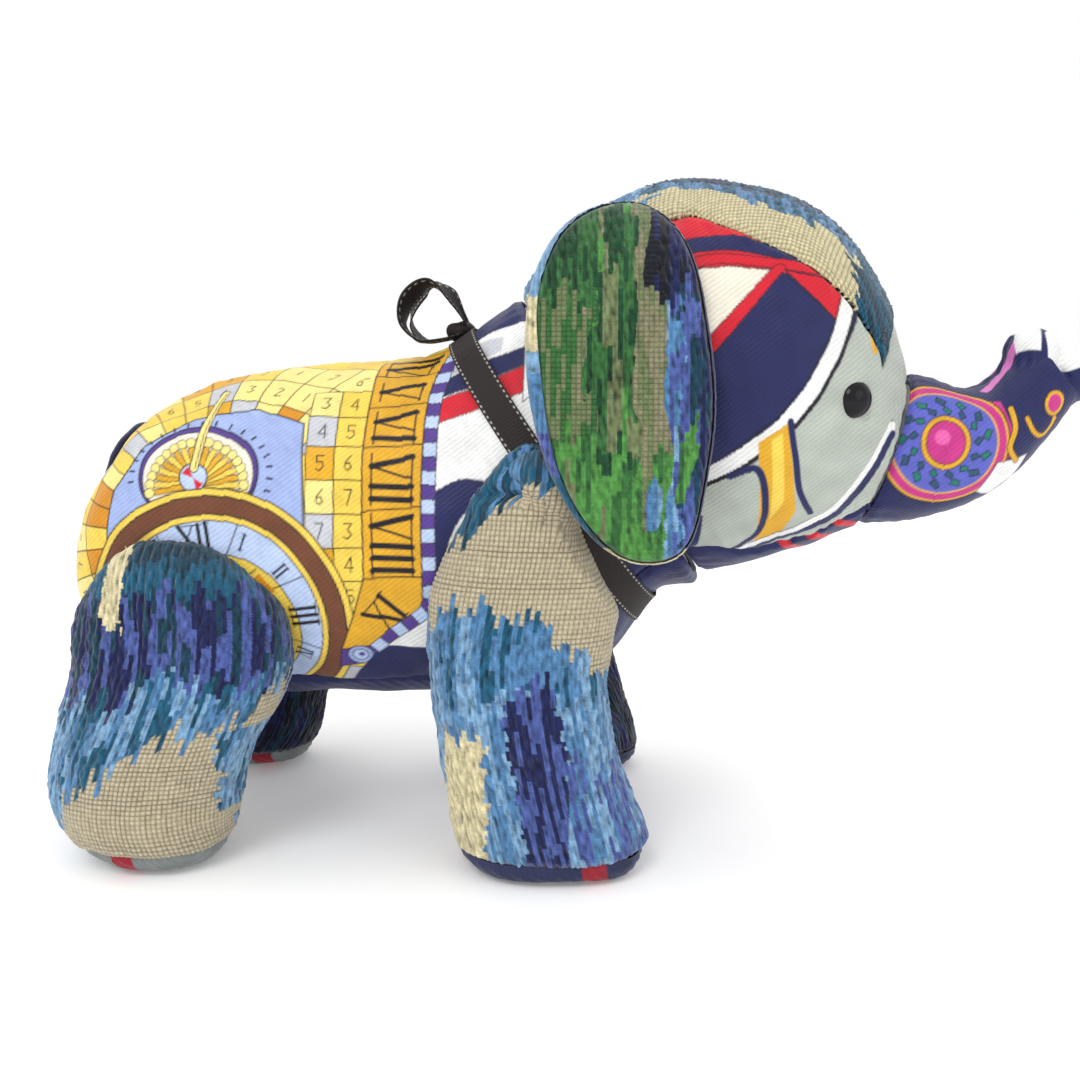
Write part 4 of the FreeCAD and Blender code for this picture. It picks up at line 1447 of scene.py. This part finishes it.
def stitches(u, v, loops, seed):
    """Relief and painted shade of the weave: square loops where loops is 1, cut pile in ridges where it is 0. The
    colour is darker in the grooves round each loop and in the dips of the pile, where shade falls, and varies at
    random by stitch and speck.
    """
    row = np.floor(v / STITCH)
    column = np.floor(u / STITCH)
    du, dv = u / STITCH - column - 0.5, v / STITCH - row - 0.5
    pillow = np.clip(1 - (2 * np.abs(du)) ** 3, 0, 1) * np.clip(1 - (2 * np.abs(dv)) ** 3, 0, 1)
    each = chances(seed, column.astype(int) * 31 + row.astype(int) * 17)
    # painted shade: each loop is darker towards its edges, in the grooves between loops; each adds random tone
    loop_height, loop_tone_and_groove_shade = 0.6 * pillow + 0.08 * each, 0.36 + 0.66 * pillow + 0.06 * each
    flat = np.stack([u, v * 0.45, 0 * u], axis=-1)
    fluff = waves(flat, 2.3, 14, seed + 3)
    ridge = 0.5 + 0.5 * np.cos(2 * math.pi * u / STITCH)
    speck = np.random.default_rng(seed + 5).uniform(-1, 1, u.shape)
    pile_height = 0.34 * fluff + 0.20 * ridge + 0.06 * speck
    # painted shade: the pile is darker in the dips of its fluff and ridges; each and speck add random tone
    pile_tone_and_dip_shade = 0.74 + 0.22 * fluff + 0.14 * ridge + 0.12 * each + 0.13 * speck
    height = loops * loop_height + (1 - loops) * pile_height
    return height, np.clip(loops * loop_tone_and_groove_shade + (1 - loops) * pile_tone_and_dip_shade, 0.25, 1.5)


def weave_with_painted_shade(colour, loops, u, v, seed):
    # the colour times the weave's painted shade in its grooves and dips, and the weave's relief
    height, shade = stitches(u, v, loops, seed)
    return colour * shade[..., None], height


def streaks(colour, place, tones, where, seed, level=None):
    """Upright streaks of a few colours, each a stitch or two wide and broken along its length."""
    column = np.floor(place / STITCH).astype(int)
    pair = np.floor(place / STITCH / 2.0).astype(int)
    chance = 0.6 * chances(seed, pair) + 0.45 * chances(seed + 1, column)
    if level is not None:
        step = np.floor(level / 13.0 + 3 * chances(seed + 2, column)).astype(int)
        chance = chance + 0.55 * chances(seed + 3, column * 13 + step * 7)
    pick = ((np.clip(chance, -0.999, 0.999) + 1) / 2 * len(tones)).astype(int)
    for number, tone in enumerate(tones):
        colour[where & (pick == number)] = linear(tone)


def paint_leg(which, side, patch):
    t, z = patch.cloth[..., 0], patch.cloth[..., 1]
    x = patch.points[..., 0]
    colour = np.ones(x.shape + (3,)) * linear(BEIGE)
    loops = np.zeros(x.shape)
    if side == "left":
        streaks(colour, t, (BLACK_BLUE, WOOL_NAVY, BLACK_BLUE, DEEP_TEAL), z > -1, 301, z)
        mix(colour, TEAL, (z > 80 + jag(t, 12, 303)) & (z < 100 + jag(t, 9, 304)))
        return weave_with_painted_shade(colour, loops, t, z, 305)
    if which == "rear":
        border = np.interp(x, [-208, -190, -182, -165, -153, -138, -124, -110],
                           [22, 34, 44, 52, 61, 62, 68, 72])
        border = border + jag(t, 9, 311)
        beige = z < border
        loops = beige.astype(float)
        above = ~beige
        mix(colour, STEEL, above)
        streaks(colour, t, (STEEL, SKY, TEAL, STEEL), above, 312, z)
        dark = z > 76 + jag(t, 12, 313) + np.interp(x, [-208, -160, -110], [-14, 0, 4])
        streaks(colour, t, (WOOL_NAVY, PERIWINKLE, WOOL_NAVY, DEEP_TEAL, PERIWINKLE), dark, 314, z)
        mix(colour, TEAL, z > 112 + jag(t, 6, 315))
        mix(colour, DEEP_TEAL, z > 121 + jag(t, 4, 316))
        mix(colour, WOOL_CREAM, (np.abs(x + 176 + jag(z, 1.5, 317)) < 4.2) & (z > 99 + jag(t, 5, 318)))
        strip = (x > -136 + jag(z, 3.5, 319)) & (z < 60)
        streaks(colour, t, (SKY, STEEL, TEAL, SKY), strip, 320, z)
        edge = (x < -198 + jag(z, 2.5, 321)) & (z < 60)
        streaks(colour, t, (SKY, STEEL), edge, 322, z)
        loops[strip | edge] = 0
        return weave_with_painted_shade(colour, loops, t, z, 323)
    top = np.interp(x, [-55, -44, -30, -15, 0, 12, 32], [124, 131, 139, 149, 166, 190, 200]) + jag(t, 7, 331)
    low = np.interp(x, [-55, -33, -17, -9, -1, 12, 24, 34], [106, 106, 101, 103, 90, 84, 66, 40])
    low = low + jag(t, 9, 332)
    loops = ((z < top) & (z > low)).astype(float)
    streaks(colour, t, (TEAL, DEEP_TEAL, TEAL, STEEL), z >= top, 333, z)
    below = z <= low
    streaks(colour, t, (TEAL, STEEL, STEEL, SKY), below, 334, z)
    light = below & (z < 76 + jag(t, 9, 335))
    streaks(colour, t, (SKY, STEEL, SKY, STEEL), light, 336, z)
    lean = x - np.interp(z, [10, 80], [-2, -15])
    dark = below & (np.abs(lean) < 11 + jag(z, 2, 337)) & (z < 78 + jag(t, 8, 338))
    streaks(colour, t, (WOOL_NAVY, PERIWINKLE, WOOL_NAVY, PERIWINKLE), dark, 339, z)
    blue = below & (x > 2) & (z < 46 + jag(t, 9, 340))
    streaks(colour, t, (PERIWINKLE, STEEL, PERIWINKLE, SKY), blue, 341, z)
    cream = (x < -29 + jag(z, 3.5, 342)) & (x > -47) & (z < 60 + jag(t, 6, 343))
    mix(colour, WOOL_CREAM, cream)
    # painted shade: the front edge of the front leg, below z 88, where its surface turns away, is the beige loops
    # in a darker copy
    strip = (x > np.interp(z, [10, 45, 80], [35, 27, 18]) + jag(z, 2, 344)) & (z < 88)
    mix(colour, PAINTED_SHADE_BEIGE, strip)
    loops[strip] = 1
    return weave_with_painted_shade(colour, loops, t, z, 345)


def paint_crown(patch):
    x = patch.points[..., 0]
    across = np.abs(patch.across)
    share = across + 0.05 * chances(351, np.floor(patch.s / 4).astype(int))
    colour = np.ones(x.shape + (3,)) * linear(WOOL_CREAM)
    streaks(colour, patch.s, (STEEL, TEAL, STEEL), share < 0.62, 352)
    streaks(colour, patch.s, (TEAL, WOOL_NAVY, DEEP_TEAL), share < 0.42, 353)
    streaks(colour, patch.s, (SKY, STEEL), (x < 28 + jag(patch.t, 8, 354)) & (share < 0.85), 355)
    streaks(colour, patch.t, (TEAL, DEEP_TEAL), x > 112 + jag(patch.t, 6, 356), 357)
    loops = (share >= 0.62).astype(float)
    return weave_with_painted_shade(colour, loops, patch.s + patch.t * 0.35, patch.t, 358)


def paint_ear(patch):
    x, z = patch.cloth[..., 0], patch.cloth[..., 1]
    flat = np.stack([x, z * 0.25, 0 * x], axis=-1)
    sway = 3.5 * waves(flat, 12.0, 9, 361) + jag(z, 1.2, 361, 4.0)
    colour = np.ones(x.shape + (3,)) * linear(GREEN)
    loops = np.zeros(x.shape)
    left = x + sway
    streaks(colour, x, (DARK_GREEN, GREEN, DARK_GREEN), (left < 10) & (z > 205 + jag(x, 14, 362)), 363, z)
    sage = (left < 9) & (z <= 222 + jag(x, 12, 364)) & (z > 158 + jag(x, 10, 365))
    streaks(colour, x, (SAGE, GREEN, SAGE, TAUPE), sage, 366, z)
    loops[sage] = 0.75
    streaks(colour, x, (GREEN, LEAF, GREEN, DARK_GREEN, SAGE), (left >= 9) & (left < 25), 367, z)
    taupe = (left >= 25) & (left < 35)
    streaks(colour, x, (TAUPE, SAGE, TAUPE), taupe, 368, z)
    loops[taupe] = 0.7
    low = (z < 172 + jag(x, 12, 369)) & (left < 40)
    streaks(colour, x, (LEAF, GREEN, LEAF, SAGE), low, 370, z)
    loops[low] = 0.2
    band = left >= 35
    streaks(colour, x, (STEEL, SKY, PERIWINKLE, STEEL), band, 371, z)
    streaks(colour, x, (WOOL_NAVY, DEEP_TEAL, PERIWINKLE), (left > 44 + jag(z, 3, 372)) & (z < 240), 373, z)
    streaks(colour, x, (WOOL_NAVY, BLACK_BLUE), (left > 30) & (z > 224 + jag(x, 9, 374)), 375, z)
    between = (left > 40) & (left < 47) & (z < 178 + jag(x, 10, 376)) & (z > 150)
    streaks(colour, x, (LEAF, GREEN), between, 377, z)
    bottom = (z > 125) & (z < 140 + jag(x, 4, 378)) & (left < 12)
    mix(colour, TAUPE, bottom)
    return weave_with_painted_shade(colour, loops, x, z, 379)


def paint_lining(patch):
    """The back of the ear, whose edge rolls round to the front: pale blue, cream and blue in turn."""
    x, z = patch.cloth[..., 0], patch.cloth[..., 1]
    colour = np.ones(x.shape + (3,)) * linear(STEEL)
    level = z + jag(patch.inset, 3, 381, 2.0)
    for start, tone in ((300, SKY), (236, SKY), (226, WOOL_CREAM), (206, SKY), (198, STEEL), (176, PERIWINKLE),
                        (160, TEAL), (140, DEEP_TEAL), (133, WOOL_CREAM)):
        mix(colour, tone, level < start)
    mix(colour, WOOL_NAVY, (x > 44) & (level > 140))
    high = z > 190 + jag(x, 14, 382)
    streaks(colour, x, (STEEL, TEAL, PERIWINKLE, SKY), patch.back & high, 383, z)
    streaks(colour, x, (GREEN, SAGE, DARK_GREEN), patch.back & ~high, 384, z)
    return weave_with_painted_shade(colour, np.zeros(x.shape), x, z, 385)


# ---- eyes ------------------------------------------------------------------------------
def build_eyes():
    """A turned dome: a rounded rim and a high crown, lying where the CAD eye is."""
    rise = [math.radians(angle) for angle in np.linspace(0, 90, 40)]
    profile = [(0.01, -0.5), (4.0, -0.5), (6.8, -0.5), (7.4, -0.2)]
    profile += [(EYE_RADIUS * math.cos(a) ** 0.9, EYE_HEIGHT * math.sin(a)) for a in rise]
    profile = np.array(profile)[:, :, None, None]
    turn = np.linspace(0, 2 * math.pi, 97)[:, None]
    yaw = math.radians(EYE_YAW)
    up = np.array([0, 0, 1.0])
    for side, sign in SIDES.items():
        out = np.array([math.sin(yaw), -math.cos(yaw) * sign, 0.0])
        points = np.array([tuple(v.co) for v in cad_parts[f"eye_{side}"].data.vertices]) / MM
        reach = points @ out
        centre = points[reach > reach.max() - EYE_HEIGHT + 0.1].mean(axis=0)
        centre = centre + out * (reach.max() - EYE_HEIGHT + EYE_PROUD - centre @ out)
        ring = np.cos(turn) * up + np.sin(turn) * np.cross(out, up)
        grid = centre + out * profile[:, 1] + ring * profile[:, 0]
        grid[:, -1] = grid[:, 0]
        patch = Patch(grid, np.ones(grid.shape) * (centre + out))
        make_piece(f"eye_dome_{side}", grid, np.ones(grid.shape) * 0.01, EYE, "toy", [f"eye_{side}"],
                   normals=patch.normals())
        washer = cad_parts[f"eye_washer_{side}"]
        washer.data.materials.clear()
        washer.data.materials.append(PLASTIC)


# ---- stage, light and camera -----------------------------------------------------------
def build_stage():
    n = Nodes("pale studio floor")
    colour = n.ramp(n.noise(900.0, 2.0), (0.93, 0.93, 0.93), (0.96, 0.96, 0.96))
    n.finish(colour, 0.8, Emission_Color=(1, 1, 1, 1), Emission_Strength=0.12)
    half, level = 6.0, -0.0005
    corners = [(x * half, y * half, level) for x, y in ((-1, -1), (1, -1), (1, 1), (-1, 1))]
    mesh = bpy.data.meshes.new("floor")
    mesh.from_pydata(corners, [], [(0, 1, 2, 3)])
    floor = bpy.data.objects.new("floor", mesh)
    bpy.context.scene.collection.objects.link(floor)
    mesh.materials.append(n.material)


def area_light(name, place, target, size, power):
    light = bpy.data.lights.new(name, "AREA")
    light.shape, light.size, light.energy = "DISK", size, power
    lamp = bpy.data.objects.new(name, light)
    lamp.location = place
    lamp.rotation_euler = (Vector(target) - Vector(place)).to_track_quat("-Z", "Y").to_euler()
    bpy.context.scene.collection.objects.link(lamp)


def build_light():
    world = bpy.data.worlds.new("studio")
    bpy.context.scene.world = world
    world.use_nodes = True
    background = world.node_tree.nodes["Background"]
    background.inputs["Color"].default_value = (1, 1, 1, 1)
    background.inputs["Strength"].default_value = 1.0
    middle = (0, 0, 0.14)
    area_light("key", (-0.45, -1.2, 1.35), middle, 0.8, 9)
    area_light("fill", (1.3, -1.1, 0.7), middle, 1.2, 3)
    area_light("top", (0.1, 0.6, 1.6), middle, 1.2, 5)
    bpy.context.scene.view_settings.view_transform = "Standard"


def build_camera():
    """The photograph's view: a little above, square on to the right side, turned three degrees."""
    camera = bpy.data.cameras.new("camera")
    camera.lens, camera.sensor_width = 41.67, 36.0
    camera.clip_start = 0.01
    eye = bpy.data.objects.new("camera", camera)
    eye.location = (0.01475, -0.5443, 0.209)
    turn, drop = math.radians(3.0), math.radians(9.0)
    forward = Vector((-math.sin(turn) * math.cos(drop), math.cos(turn) * math.cos(drop), -math.sin(drop)))
    eye.rotation_euler = forward.to_track_quat("-Z", "Y").to_euler()
    bpy.context.scene.collection.objects.link(eye)
    bpy.context.scene.camera = eye


# ---- build -----------------------------------------------------------------------------
torso = build_torso()
head = build_head()
trunk = build_trunk()
for which, spine in (("rear", REAR_SPINE), ("front", FRONT_SPINE)):
    for side in SIDES:
        build_leg(which, spine, side)
build_ears()
build_ribbon()
build_bow()
build_tail()
build_eyes()
build_filling("filling_torso", "torso_stuffing", torso, 101)
build_filling("filling_head", "head_stuffing", head, 103)
build_filling("filling_trunk", "trunk_stuffing", trunk, 107, inset=4.0)
build_stage()
build_light()
build_camera()
